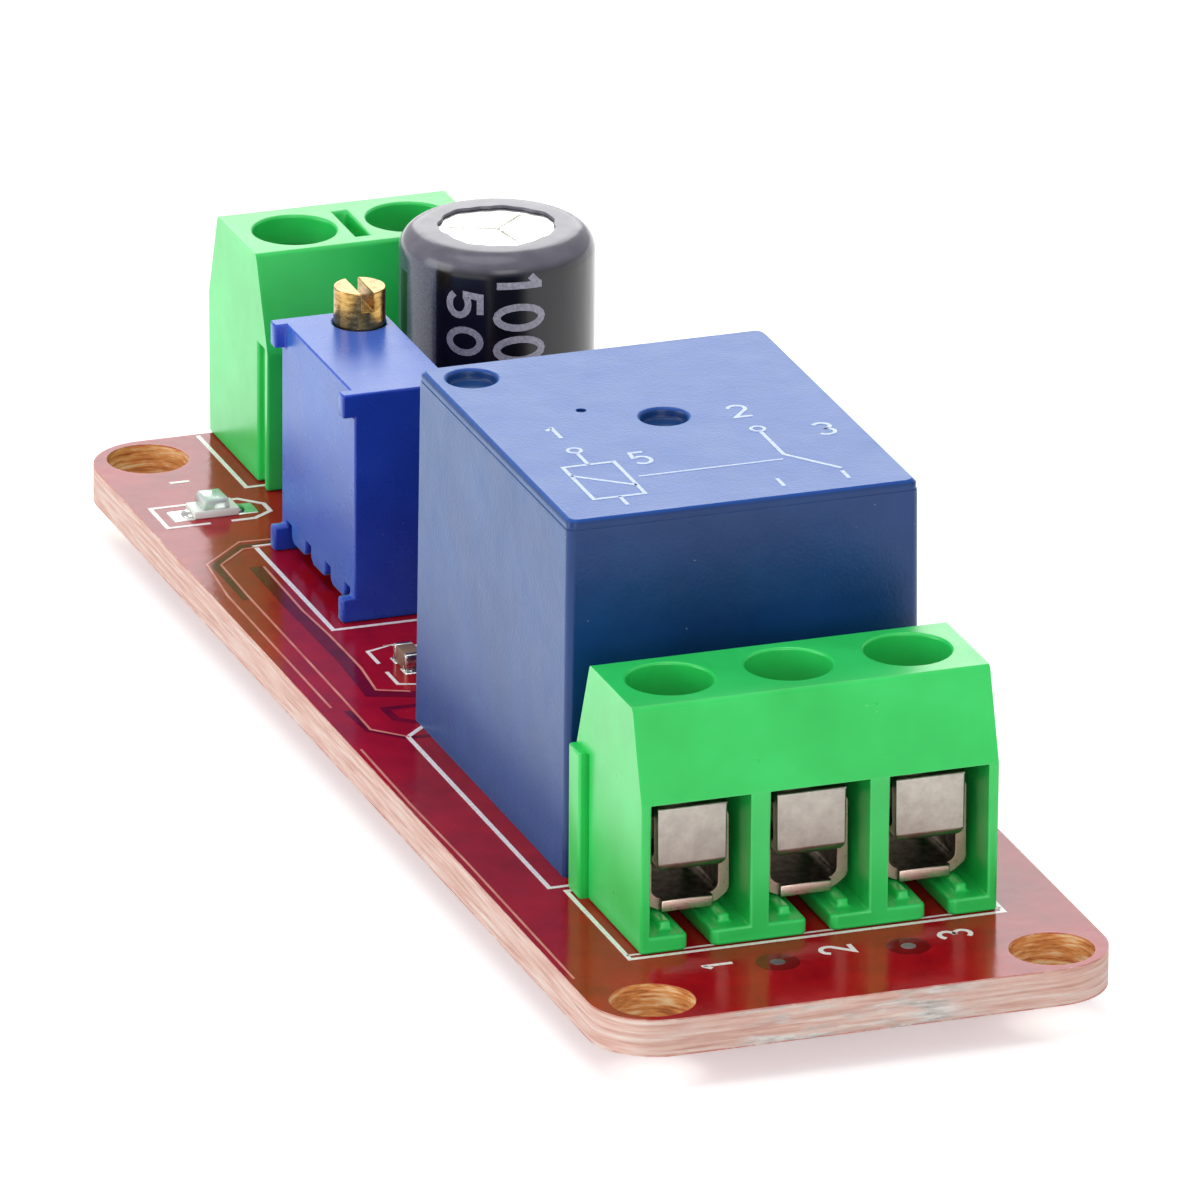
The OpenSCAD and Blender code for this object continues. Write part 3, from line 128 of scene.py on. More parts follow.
class Look:
    """A procedural material round one Principled shader. Coordinates are in millimetres."""

    def __init__(self, name, **constants):
        self.material = bpy.data.materials.new(name)
        self.material.use_nodes = True
        self.tree = self.material.node_tree
        self.tree.nodes.clear()
        self.shader = self.node("ShaderNodeBsdfPrincipled")
        output = self.node("ShaderNodeOutputMaterial")
        self.tree.links.new(self.shader.outputs["BSDF"], output.inputs["Surface"])
        for key, value in constants.items():
            self.set(key, value)
        scaled = self.node("ShaderNodeVectorMath", operation="SCALE")
        texture = self.node("ShaderNodeTexCoord")
        self.tree.links.new(texture.outputs["Object"], scaled.inputs[0])
        scaled.inputs["Scale"].default_value = 1 / MM
        self.place = scaled.outputs[0]
        self.facing = texture.outputs["Normal"]
        self.relief = None

    def node(self, kind, *inputs, **settings):
        """A new node, with its first inputs linked or set."""
        made = self.tree.nodes.new(kind)
        for key, value in settings.items():
            setattr(made, key, value)
        for index, value in enumerate(inputs):
            if value is not None:
                self.feed(made.inputs[index], value)
        return made

    def feed(self, socket, value):
        """Links a socket to another one, or sets its value."""
        if isinstance(value, bpy.types.NodeSocket):
            self.tree.links.new(value, socket)
        else:
            socket.default_value = value

    def set(self, key, value):
        """Sets a socket of the shader; coat_roughness names Coat Roughness, ior names IOR."""
        name = "IOR" if key == "ior" else key.replace("_", " ").title()
        self.feed(self.shader.inputs[name], value)

    def math(self, operation, a, b=None, c=None, clamp=False):
        """The result of a sum; each term is a socket or a number."""
        return self.node("ShaderNodeMath", a, b, c, operation=operation, use_clamp=clamp).outputs[0]

    def product(self, a, b, clamp=False):
        """a times b."""
        return self.math("MULTIPLY", a, b, clamp=clamp)

    def away_from(self, value, middle):
        """How far a value lies above the middle."""
        return self.math("SUBTRACT", value, middle)

    def radius(self, x, y):
        """Distance from an axis along Z."""
        return self.math("SQRT", self.math("ADD", self.product(x, x), self.product(y, y)))

    def axes(self, vector=None):
        """X, Y and Z of a vector, or else of the place in millimetres."""
        return self.node("ShaderNodeSeparateXYZ", vector or self.place).outputs

    def noise(self, size, detail=2, rough=0.5, stretch=(1, 1, 1), lift=0.0):
        """Noise with features of the given size, longer along an axis by its stretch."""
        scale = [1 / (size * s) for s in stretch]
        mapped = self.node("ShaderNodeVectorMath", self.place, scale, operation="MULTIPLY")
        moved = self.node("ShaderNodeVectorMath", mapped.outputs[0], (lift, lift, lift), operation="ADD")
        made = self.node("ShaderNodeTexNoise")
        self.feed(made.inputs["Vector"], moved.outputs[0])
        for key, value in (("Scale", 1), ("Detail", detail), ("Roughness", rough)):
            made.inputs[key].default_value = value
        return made.outputs["Fac"]

    def cells(self, size):
        """Distance to the nearest of points strewn at the given pitch."""
        mapped = self.node("ShaderNodeVectorMath", self.place, (1 / size,) * 3, operation="MULTIPLY")
        made = self.node("ShaderNodeTexVoronoi", feature="F1")
        self.feed(made.inputs["Vector"], mapped.outputs[0])
        made.inputs["Scale"].default_value = 1
        return made.outputs["Distance"]

    def ramp(self, value, *stops):
        """Colours or grey levels at positions along value."""
        made = self.node("ShaderNodeValToRGB", value)
        elements = made.color_ramp.elements
        for index, (position, colour) in enumerate(stops):
            stop = elements[index] if index < 2 else elements.new(position)
            stop.position = position
            stop.color = colour if isinstance(colour, tuple) else (colour, colour, colour, 1)
        return made.outputs["Color"]

    def step(self, value, start, end):
        """0 below start, 1 above end, smooth between."""
        made = self.node("ShaderNodeMapRange", value, start, end, 0.0, 1.0, interpolation_type="SMOOTHSTEP")
        return made.outputs["Result"]

    def mix(self, share, a, b):
        """Colour a, or b to the given share."""
        made = self.node("ShaderNodeMix", data_type="RGBA", blend_type="MIX")
        for name, value in (("Factor_Float", share), ("A_Color", a), ("B_Color", b)):
            self.feed(next(s for s in made.inputs if s.identifier == name), value)
        return next(s for s in made.outputs if s.identifier == "Result_Color")

    def bump(self, height, depth):
        """Adds a relief of the given depth in millimetres to the surface."""
        made = self.node("ShaderNodeBump")
        made.inputs["Strength"].default_value = 1.0
        made.inputs["Distance"].default_value = depth * MM
        self.feed(made.inputs["Height"], height)
        if self.relief:
            self.feed(made.inputs["Normal"], self.relief)
        self.relief = made.outputs["Normal"]
        self.set("normal", self.relief)

    def scatter_light(self, share, reach, scale):
        """Light enters the surface and leaves it within reach, one length for each colour."""
        self.set("subsurface_weight", share)
        self.set("subsurface_radius", reach)
        self.set("subsurface_scale", scale * MM)


def board_look():
    """Glossy red solder mask on both faces, glass-fibre laminate on the edges and in the holes."""
    look = Look("solder_mask_board", roughness=0.12, ior=1.3)
    x, y, z = look.axes()
    face = look.step(look.math("ABSOLUTE", look.axes(look.facing)[2]), 0.55, 0.8)
    mottled = look.ramp(look.noise(2.5, 4, 0.6), (0.3, srgb(132, 6, 20)), (0.7, srgb(166, 10, 24)))
    weave = look.product(look.noise(0.45, 1, stretch=(6, 1, 1)), look.noise(0.45, 1, stretch=(1, 6, 1)))
    mask = look.mix(look.product(weave, 0.35), mottled, srgb(196, 34, 30))
    speck = look.ramp(look.cells(0.9), (0.02, 1.0), (0.05, 0.0))
    mask = look.mix(look.product(speck, 0.12), mask, srgb(235, 170, 160))
    layers = look.noise(0.16, 3, 0.6, stretch=(22, 22, 1))
    fibres = look.noise(0.1, 4, 0.7, stretch=(3, 3, 0.6))
    laminate = look.ramp(
        layers, (0.3, srgb(208, 158, 142)), (0.5, srgb(238, 200, 186)), (0.72, srgb(252, 240, 230)))
    laminate = look.mix(look.product(fibres, 0.35), laminate, srgb(226, 172, 162))
    # The short edges are rougher and whiter in the middle, where the board was broken from its panel
    end = look.step(look.math("ABSOLUTE", y), BOARD_HIGH.y - 0.25, BOARD_HIGH.y - 0.05)
    broken = look.step(look.noise(2.2, 3, 0.6, stretch=(2, 1, 0.35), lift=3.0), 0.42, 0.6)
    aside = look.math("ABSOLUTE", look.math("ADD", x, 0.6))
    central = look.math("SUBTRACT", 1.0, look.step(aside, 3.0, 6.5))
    torn = look.ramp(
        look.noise(0.3, 4, 0.7, stretch=(5, 1, 0.7)), (0.3, srgb(168, 158, 152)), (0.65, srgb(250, 247, 243)))
    laminate = look.mix(look.product(look.product(broken, central), end), laminate, torn)
    # Resin in the holes is amber
    bore = None
    for hole_x, hole_y in ((sx * HOLE_X, sy * HOLE_Y) for sx in (-1, 1) for sy in (-1, 1)):
        radius = look.radius(look.away_from(x, hole_x), look.away_from(y, hole_y))
        inside = look.math("LESS_THAN", radius, HOLE_R + 0.1)
        bore = look.math("MAXIMUM", bore, inside) if bore else inside
    arcs = look.noise(0.2, 3, 0.7, stretch=(8, 8, 1), lift=7.0)
    amber = look.ramp(
        arcs, (0.34, srgb(186, 104, 56)), (0.5, srgb(238, 164, 92)), (0.64, srgb(255, 222, 172)))
    laminate = look.mix(bore, laminate, amber)
    # Thin red rims where the mask wraps the arrises
    upper, lower = look.step(z, TOP - 0.1, TOP - 0.03), look.step(look.product(z, -1), -0.1, -0.03)
    rim = look.math("ADD", upper, lower, clamp=True)
    ragged = look.product(rim, look.step(look.noise(0.35, 3, 0.7, stretch=(3, 3, 1)), 0.35, 0.6))
    laminate = look.mix(look.product(ragged, 0.7), laminate, srgb(196, 88, 84))
    look.set("base_color", look.mix(face, laminate, mask))
    look.set("roughness", look.math("MULTIPLY_ADD", face, -0.4, 0.55))
    look.scatter_light(0.15, (1.0, 0.45, 0.3), 1.0)
    edge = look.math("SUBTRACT", 1.0, face)
    look.bump(look.product(edge, look.math("ADD", layers, fibres)), 0.12)
    look.bump(look.product(face, look.noise(0.8, 2)), 0.012)
    return look


def plastic_look(
        name, colour, dark, light, grain=0.2, relief=0.006, gloss=0.3, ior=1.4, sheen=0.0,
        tint=(1, 1, 1, 1), glow=0.0, top=None, scuffed=None):
    """Moulded plastic: fine grain, slow colour drift, flow marks and a few specks of dust.
    A top face at the height top is painted lighter, in patches, toward a given colour: a painted sheen for
    the light that falls on that top."""
    look = Look(name, roughness=gloss, ior=ior, sheen_weight=sheen, sheen_roughness=0.35, sheen_tint=tint)
    drift = look.ramp(look.noise(4.0, 3, 0.55), (0.3, srgb(*dark)), (0.5, srgb(*colour)), (0.7, srgb(*light)))
    if scuffed:
        # Painted sheen: the top face is lightened toward the given colour in patches, set here by worn; it
        # stands in for light on the top, not for wear
        high = look.step(look.axes()[2], top - 0.16, top - 0.03)
        worn = look.math("MULTIPLY_ADD", look.noise(0.7, 4, 0.7), 0.5, 0.6)
        drift = look.mix(look.product(high, worn, clamp=True), drift, srgb(*scuffed))
    dust = look.ramp(look.cells(0.62), (0.03, 1.0), (0.06, 0.0))
    dust = look.product(dust, look.step(look.noise(1.7, 2, lift=5.0), 0.5, 0.62))
    look.set("base_color", look.mix(look.product(dust, 0.3), drift, (0.8, 0.82, 0.85, 1)))
    patches = look.noise(1.6, 3, 0.6, lift=2.0)
    look.set("roughness", look.math("MULTIPLY_ADD", patches, 0.12, gloss - 0.06))
    if glow:
        look.scatter_light(glow, (0.5, 1.0, 0.5), 0.6)
    look.bump(look.noise(grain, 3, 0.6), relief)
    look.bump(look.noise(3.0, 2), relief * 4)
    return look


def metal_look(name, colour, tarnish, gloss=0.3, size=0.5, stretch=(1, 1, 1), worn=None):
    """Metal with clouded tarnish and fine drawing marks; worn is the colour of cut ends."""
    look = Look(name, metallic=1.0, roughness=gloss)
    cloud = look.noise(size, 4, 0.65, stretch=stretch)
    clouded = look.ramp(cloud, (0.35, srgb(*tarnish)), (0.65, srgb(*colour)))
    if worn:
        across = look.math("ABSOLUTE", look.axes(look.facing)[1])
        streak = look.noise(0.12, 3, 0.7, stretch=(1, 4, 1), lift=4.0)
        cut_end = look.product(look.step(across, 0.7, 0.9), look.step(streak, 0.25, 0.5))
        clouded = look.mix(cut_end, clouded, srgb(*worn))
    look.set("base_color", clouded)
    fine = look.noise(0.06, 3, 0.7, stretch=(1, 6, 1))
    look.set("roughness", look.math("MULTIPLY_ADD", look.math("ADD", cloud, fine), 0.16, gloss - 0.16))
    look.bump(look.math("ADD", look.noise(0.09, 3, 0.7), fine), 0.004)
    return look


def winding_look():
    """Turns of enamelled copper wire; the crown of each turn is painted lighter and the groove between turns
    darker, as painted highlight and painted shade.
    """
    look = Look("copper_wire", metallic=1.0, roughness=0.3)
    turns = look.math("SINE", look.product(look.axes()[2], 2 * math.pi / WIRE_PITCH))
    # Painted highlight on the crowns of the turns, painted shade in the grooves between them
    painted_crown_light = look.math("MULTIPLY_ADD", turns, 0.4, 0.5)
    look.set("base_color", look.ramp(painted_crown_light, (0.1, srgb(120, 52, 22)), (0.8, srgb(214, 122, 66))))
    look.bump(turns, 0.03)
    return look


def sleeve_look():
    """Shrunk black sleeve with a pale stripe of dashes down its left side."""
    look = Look("sleeve_black", roughness=0.22, ior=1.45)
    x, y, z = look.axes()
    x, y = look.away_from(x, SLEEVE_MIDDLE.x), look.away_from(y, SLEEVE_MIDDLE.y)
    away = look.math("SUBTRACT", math.pi, look.math("ABSOLUTE", look.math("ARCTAN2", y, x)))
    flank = look.step(look.radius(x, y), SLEEVE_R - 0.9, SLEEVE_R - 0.75)
    stripe = look.product(look.math("LESS_THAN", away, math.radians(STRIPE_HALF)), flank)
    below = look.away_from(z, SLEEVE_HIGH.z - DASH_TOP - DASH)
    phase = look.math("FRACT", look.math("DIVIDE", below, DASH_PITCH))
    dash = look.product(
        look.math("LESS_THAN", phase, DASH / DASH_PITCH),
        look.math("LESS_THAN", away, math.radians(DASH_HALF)))
    pale = look.ramp(look.noise(0.07, 3, 0.8), (0.35, srgb(36, 42, 60)), (0.65, srgb(82, 88, 108)))
    black = look.ramp(look.noise(1.2, 3), (0.3, srgb(10, 10, 16)), (0.7, srgb(20, 20, 30)))
    shown = look.product(stripe, look.math("SUBTRACT", 1.0, dash))
    shoulder = look.step(z, SLEEVE_HIGH.z - 0.9, SLEEVE_HIGH.z - 0.4)
    # The shoulder band is coloured a paler grey-lavender than the rest of the sleeve
    paler_shoulder = look.ramp(look.noise(0.9, 2, 0.5), (0.3, srgb(88, 86, 98)), (0.7, srgb(102, 100, 113)))
    look.set("base_color", look.mix(shoulder, look.mix(shown, black, pale), paler_shoulder))
    look.bump(look.product(look.noise(2.6, 2, 0.5, stretch=(1, 1, 1.6)), shoulder), 0.04)
    look.bump(look.noise(2.2, 2, stretch=(1, 1, 3)), 0.05)
    return look


def lens_look():
    """Clear cast resin with a faint green tint."""
    look = Look("led_lens", roughness=0.08, transmission_weight=0.55, ior=1.5, coat_weight=0.5)
    look.set("base_color", look.ramp(
        look.noise(0.5, 2), (0.3, (0.72, 0.86, 0.8, 1)), (0.7, (0.9, 0.95, 0.93, 1))))
    look.bump(look.noise(0.3, 2), 0.01)
    return look


def ink_look(name, colour, worn, coverage=0.9):
    """Screen print with slightly uneven cover."""
    look = Look(name, roughness=0.45, coat_weight=0.3, coat_roughness=0.2)
    cover = look.noise(0.12, 4, 0.75)
    look.set("base_color", look.ramp(cover, (0.28, srgb(*worn)), (0.28 + 0.3 * coverage, srgb(*colour))))
    look.bump(look.noise(0.08, 3, 0.7), 0.01)
    return look


def mask_look(name, dark, light):
    """Glossy mask of another shade, over copper gaps and tracks; along copper edges it is a pale painted
    highlight.
    """
    look = Look(name, roughness=0.12, ior=1.3)
    look.set("base_color", look.ramp(look.noise(1.5, 3), (0.3, srgb(*dark)), (0.7, srgb(*light))))
    look.bump(look.noise(0.5, 2), 0.01)
    return look


def solder_look():
    """Bright solder with duller patches."""
    look = Look("solder", metallic=1.0, roughness=0.2)
    cloud = look.noise(0.4, 3, 0.6)
    look.set("base_color", look.ramp(cloud, (0.3, srgb(178, 178, 176)), (0.7, srgb(226, 226, 222))))
    look.set("roughness", look.math("MULTIPLY_ADD", cloud, 0.25, 0.08))
    look.bump(look.noise(0.25, 3, 0.6), 0.02)
    return look


SLEEVE, SOLDER = sleeve_look(), solder_look()
WHITE_INK = ink_look("silkscreen_white", (246, 240, 240), (214, 190, 192))
GREY_INK = ink_look("sleeve_print", (190, 190, 204), (120, 120, 136), coverage=1.3)
RELAY_INK = ink_look("relay_print", (178, 198, 232), (120, 150, 200))
GAP = mask_look("mask_over_gap", (92, 5, 22), (116, 10, 28))
# Pale mask over copper edges: a painted highlight
EDGE_HIGHLIGHT = mask_look("mask_over_edge", (204, 112, 100), (224, 150, 136))
TRACK = mask_look("mask_over_track", (158, 12, 24), (186, 22, 34))
RIM = mask_look("mask_over_via", (92, 10, 14), (120, 16, 18))
FILL = plastic_look("via_fill", (92, 84, 88), (74, 64, 70), (116, 108, 110))
PAD = metal_look("tinned_pad", (236, 236, 234), (206, 206, 204), gloss=0.16, size=0.3)

# Material slots of the CAD model: those with a look of their own, then plastics and metals. A plastic
# has its colour, the darker and the lighter patches, and a metal its colour and its tarnish.
LOOKS = {
    "solder_mask_board": board_look(), "solder": SOLDER, "copper_wire": winding_look(),
    "sleeve_black": SLEEVE, "led_lens": lens_look()}
PLASTICS = {
    "terminal_green": ((42, 202, 92), (36, 193, 84), (50, 211, 102), dict(
        grain=0.5, relief=0.004, ior=1.5, glow=0.12)),
    # The relay's and the trimmer's tops get a painted sheen, a lighter colour on their top faces
    "relay_blue": ((8, 49, 106), (6, 44, 98), (12, 56, 114), dict(
        grain=0.16, relief=0.012, gloss=0.34, sheen=0.8, tint=(0.15, 0.45, 1.0, 1),
        top=RELAY_HIGH.z, scuffed=(14, 76, 164))),
    "trimmer_blue": ((26, 58, 168), (22, 52, 158), (34, 68, 178), dict(
        relief=0.003, gloss=0.28, ior=1.42, sheen=0.9, tint=(0.2, 0.65, 1.0, 1),
        top=TRIMMER_HIGH.z, scuffed=(22, 66, 190))),
    "trimmer_seal": ((44, 58, 128), (34, 46, 112), (56, 72, 144), {}),
    "relay_base": ((16, 24, 52), (12, 18, 42), (24, 32, 66), {}),
    "bobbin_nylon": ((226, 224, 210), (214, 210, 194), (236, 234, 222), {}),
    "bung_rubber": ((34, 34, 36), (26, 26, 28), (44, 44, 46), dict(gloss=0.7)),
    "led_base": ((226, 232, 222), (210, 220, 208), (240, 244, 238), dict(relief=0.003)),
    "chip_black": ((30, 30, 33), (22, 22, 25), (40, 40, 43), dict(grain=0.08, relief=0.012, gloss=0.5)),
    "resistor_black": ((18, 18, 22), (12, 12, 16), (28, 28, 34), dict(gloss=0.2)),
    "capacitor_tan": ((126, 100, 84), (108, 84, 70), (146, 120, 102), dict(gloss=0.35)),
}
METALS = {
    "nickel_plate": ((166, 160, 152), (146, 140, 133), dict(gloss=0.36, size=0.8)),
    "zinc_steel": ((176, 168, 158), (120, 108, 98), dict(gloss=0.34, size=0.4, worn=(196, 172, 160))),
    "tinned_lead": ((214, 212, 206), (170, 168, 164), dict(gloss=0.24, size=0.3)),
    "screw_brass": ((188, 155, 92), (128, 94, 46), dict(gloss=0.24, stretch=(1, 1, 0.3))),
    "relay_iron": ((150, 150, 152), (110, 108, 106), dict(gloss=0.4)),
    "spring_bronze": ((214, 160, 96), (170, 112, 62), {}),
    "contact_silver": ((232, 230, 226), (190, 186, 180), dict(gloss=0.22)),
    "can_aluminium": ((240, 239, 236), (214, 212, 208), dict(gloss=0.2, size=1.2)),
}
for make, table in ((plastic_look, PLASTICS), (metal_look, METALS)):
    for name, (*colours, changes) in table.items():
        LOOKS[name] = make(name, *colours, **changes)
SLOTS, BODIES = {}, {}  # material slot and body of each CAD node
for node, thing in frame["nodes"].items():
    SLOTS[node] = thing.data.materials[0].name.split(".")[0]
    BODIES[node] = thing.parent.name.split(":")[1]
    thing.data.materials[0] = LOOKS[SLOTS[node]].material


# ------------------------------------------------------------------ pieces


def add_piece(name, mesh, look, body="board", smooth_angle=30):
    """Puts a finished bmesh, in millimetres, on a body."""
    bmesh.ops.scale(mesh, vec=(MM, MM, MM), verts=mesh.verts)
    bmesh.ops.recalc_face_normals(mesh, faces=mesh.faces)
    data = bpy.data.meshes.new(name)
    mesh.to_mesh(data)
    mesh.free()
    data.materials.append(look.material)
    piece = bpy.data.objects.new(name, data)
    bpy.context.scene.collection.objects.link(piece)
    if smooth_angle:
        data.shade_smooth()
        data.set_sharp_from_angle(angle=math.radians(smooth_angle))
    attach(piece, body)
    return piece


def crossings(mesh, low, high):
    """Points where faces without a common corner cross, and corners outside the box."""
    found = []
    mesh.faces.ensure_lookup_table()
    tree = BVHTree.FromBMesh(mesh)
    for pair in tree.overlap(tree):
        first, second = (mesh.faces[index] for index in pair)
        if pair[0] < pair[1] and not set(first.verts) & set(second.verts):
            found += [first.calc_center_median(), second.calc_center_median()]
    for vert in mesh.verts:
        if any(vert.co[i] < low[i] - TOUCH or vert.co[i] > high[i] + TOUCH for i in range(3)):
            found.append(vert.co.copy())
    return found


def distance(point, edge):
    """Shortest distance from a point to an edge."""
    start, end = (vert.co for vert in edge.verts)
    share = (point - start).dot(end - start) / (end - start).length_squared
    return (start + (end - start) * min(1, max(0, share)) - point).length


def soften(node, width, lowered=0.0):
    """Shows the CAD node's own shape with its sharp edges rounded. An edge whose rounding would
    run through another face stays sharp. The top may be lowered, to leave room for print."""
    low, high = span(node)
    mesh = bmesh.new()
    mesh.from_mesh(frame["nodes"][node].data)
    bmesh.ops.scale(mesh, vec=(1 / MM,) * 3, verts=mesh.verts)
    bmesh.ops.remove_doubles(mesh, verts=mesh.verts, dist=TOUCH)
    bmesh.ops.dissolve_limit(mesh, angle_limit=math.radians(2), verts=mesh.verts, edges=mesh.edges)
    mesh.edges.index_update()
    mesh.edges.ensure_lookup_table()
    rounded = {
        e.index for e in mesh.edges
        if len(e.link_faces) == 2 and e.calc_face_angle(0) > math.radians(SHARP_TURN)
        and e.calc_length() > SHORTEST * width}
    trial = None
    for _ in range(TRIALS):
        if trial is not None:
            trial.free()
        trial = mesh.copy()
        trial.edges.ensure_lookup_table()
        bmesh.ops.bevel(
            trial, geom=[trial.edges[i] for i in sorted(rounded)], offset=width, segments=2, profile=0.5,
            affect="EDGES", clamp_overlap=False, offset_type="OFFSET")
        for vert in trial.verts:
            vert.co.z = min(vert.co.z, high.z - lowered)
        faults = crossings(trial, low, high)
        if not faults:
            break
        near = {i for point in faults for i in rounded if distance(point, mesh.edges[i]) < REACH * width}
        rounded -= near or {min(rounded, key=lambda i: distance(faults[0], mesh.edges[i]))}
    mesh.free()
    piece = add_piece(node + "_soft", trial, LOOKS[SLOTS[node]], BODIES[node], 40)
    flat = piece.modifiers.new("flat_faces", "WEIGHTED_NORMAL")
    flat.weight, flat.keep_sharp = 100, True
    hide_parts(node)


# Width of the rounded edges of each node
ROUNDING = {
    "output_housing": 0.13, "supply_housing": 0.13, "relay_cover": 0.16, "relay_base": 0.08,
    "trimmer_housing": 0.1, "output_contacts": 0.07, "supply_contacts": 0.07, "trimmer_screw": 0.05,
    "timer_body": 0.05, "diode_body": 0.08, "transistor_body": 0.06, "resistor_bodies": 0.03,
    "resistor_ends": 0.05, "chip_capacitor_bodies": 0.05, "chip_capacitor_ends": 0.08,
    "power_led_base": 0.05, "power_led_lens": 0.1, "status_led_base": 0.05, "status_led_lens": 0.1,
    "relay_armature": 0.08, "relay_yoke": 0.08}
ROUNDING.update({node: 0.06 for node in frame["nodes"] if "_cage_" in node or "_screw_" in node})
for node, width in ROUNDING.items():
    soften(node, width, lowered=INK_T if node == "relay_cover" else 0.0)


def offset_lines(points, width, closed):
    """The two sides of a line of the given width along points, with mitred corners."""
    count = len(points)
    sides = ([], [])
    for i, point in enumerate(points):
        before = points[(i - 1) % count] if closed or i else None
        after = points[(i + 1) % count] if closed or i < count - 1 else None
        ways = []
        if before is not None:
            ways.append((Vector(point) - Vector(before)).normalized())
        if after is not None:
            ways.append((Vector(after) - Vector(point)).normalized())
        along = sum(ways, Vector((0, 0))).normalized()
        across = Vector((-along.y, along.x))
        stretch = 1 / max(SHARPEST, along.dot(ways[0]))
        for side, sign in zip(sides, (-1, 1)):
            side.append(Vector(point) + across * (sign * width / 2 * stretch))
    return sides


def add_line(mesh, points, width, place, closed=False, height=INK_T):
    """A printed or raised line; place turns (u, v, height) into a point in space."""
    low, high = offset_lines([tuple(p) for p in points], width, closed)
    rings = []
    for a, b in zip(low, high):
        corners = ((a, 0.0), (a, height), (b, height), (b, 0.0))
        rings.append([mesh.verts.new(place(p.x, p.y, h)) for p, h in corners])
    pairs = list(zip(rings, rings[1:] + rings[:1]))
    for first, second in pairs if closed else pairs[:-1]:
        for i in range(4):
            mesh.faces.new((first[i], first[(i + 1) % 4], second[(i + 1) % 4], second[i]))
    if not closed:
        mesh.faces.new(rings[0])
        mesh.faces.new(rings[-1][::-1])


def on_top(x, y, h):
    """A point h above the board."""
    return (x, y, TOP + h)


def on_bottom(x, y, h):
    """A point h below the board."""
    return (x, y, BOARD_LOW.z - h)


def arc(centre, radius, start, end, steps):
    """Points on an arc, in degrees."""
    turns = [math.radians(start + (end - start) * i / steps) for i in range(steps + 1)]
    return [(centre[0] + radius * math.cos(t), centre[1] + radius * math.sin(t)) for t in turns]


def circle(x, y, radius, steps):
    """Points on a full circle, for a closed line."""
    return arc((x, y), radius, 0, 360, steps)[:-1]


def add_plate(mesh, x0, y0, x1, y1, radius=0.1):
    """A raised rectangle on the board, with round corners and sloping sides."""
    corners = (
        (x1 - radius, y0 + radius, -90), (x1 - radius, y1 - radius, 0),
        (x0 + radius, y1 - radius, 90), (x0 + radius, y0 + radius, 180))
    outline = [p for cx, cy, turn in corners for p in arc((cx, cy), radius, turn, turn + 90, 4)]
    centre = sum((Vector(p) for p in outline), Vector((0, 0))) / len(outline)
    sides = offset_lines(outline, 2 * PLATE_SLOPE, True)
    inner = min(sides, key=lambda points: sum((p - centre).length for p in points))
    low = [mesh.verts.new(on_top(*p, 0.0)) for p in outline]
    high = [mesh.verts.new(on_top(*p, MASK_T)) for p in inner]
    mesh.faces.new(low[::-1])
    mesh.faces.new(high)
    for i in range(len(low)):
        j = (i + 1) % len(low)
        mesh.faces.new((low[i], low[j], high[j], high[i]))


def add_shell():
    """The shrunk sleeve, turned as a thin shell with a round shoulder and a slightly wavy mouth."""
    shoulder = (SLEEVE_R - SHOULDER_R, SLEEVE_HIGH.z - SHOULDER_R)
    profile = [(SLEEVE_R - FOOT_LIP, SLEEVE_LOW.z)]
    profile += arc((SLEEVE_R - FOOT_R, SLEEVE_LOW.z + FOOT_R), FOOT_R, -90, 0, FOOT_STEPS)
    profile += arc(shoulder, SHOULDER_R, 0, 90, SHOULDER_STEPS)
    profile += [(MOUTH_R + LIP, SLEEVE_HIGH.z), (MOUTH_R, SLEEVE_HIGH.z - LIP)]
    profile += [(MOUTH_R, SLEEVE_HIGH.z - FILM_T)]
    profile += arc(shoulder, SHOULDER_R - FILM_T, 90, 0, SHOULDER_STEPS)
    profile += [(SLEEVE_R - FILM_T, SLEEVE_LOW.z + FILM_T), (SLEEVE_R - FOOT_LIP, SLEEVE_LOW.z + FILM_T)]
    mesh, rings = bmesh.new(), []
    for step in range(SHELL_STEPS):
        turn = 2 * math.pi * step / SHELL_STEPS
        wave = sum(height * math.sin(count * turn + phase) for height, count, phase in WAVES)
        ring = []
        for radius, z in profile:
            inward = (shoulder[0] - radius) / (shoulder[0] - MOUTH_R) if z > shoulder[1] else 0
            radius += wave * min(1, max(0, inward))
            x, y = SLEEVE_MIDDLE.x + radius * math.cos(turn), SLEEVE_MIDDLE.y + radius * math.sin(turn)
            ring.append(mesh.verts.new((x, y, z)))
        rings.append(ring)
    for first, second in zip(rings, rings[1:] + rings[:1]):
        for i in range(len(profile)):
            j = (i + 1) % len(profile)
            mesh.faces.new((first[i], second[i], second[j], first[j]))
    piece = add_piece("sleeve_shell", mesh, SLEEVE)
    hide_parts("capacitor_sleeve")


add_shell()

DIGIT_W = 0.55


def oval(low, high, start=0, end=360, steps=20):
    """Points on an upright oval as wide as a digit, in degrees."""
    middle, half = (low + high) / 2, (high - low) / 2
    return [(DIGIT_W / 2 + DIGIT_W / 2 * x, middle + half * y) for x, y in arc((0, 0), 1, start, end, steps)]


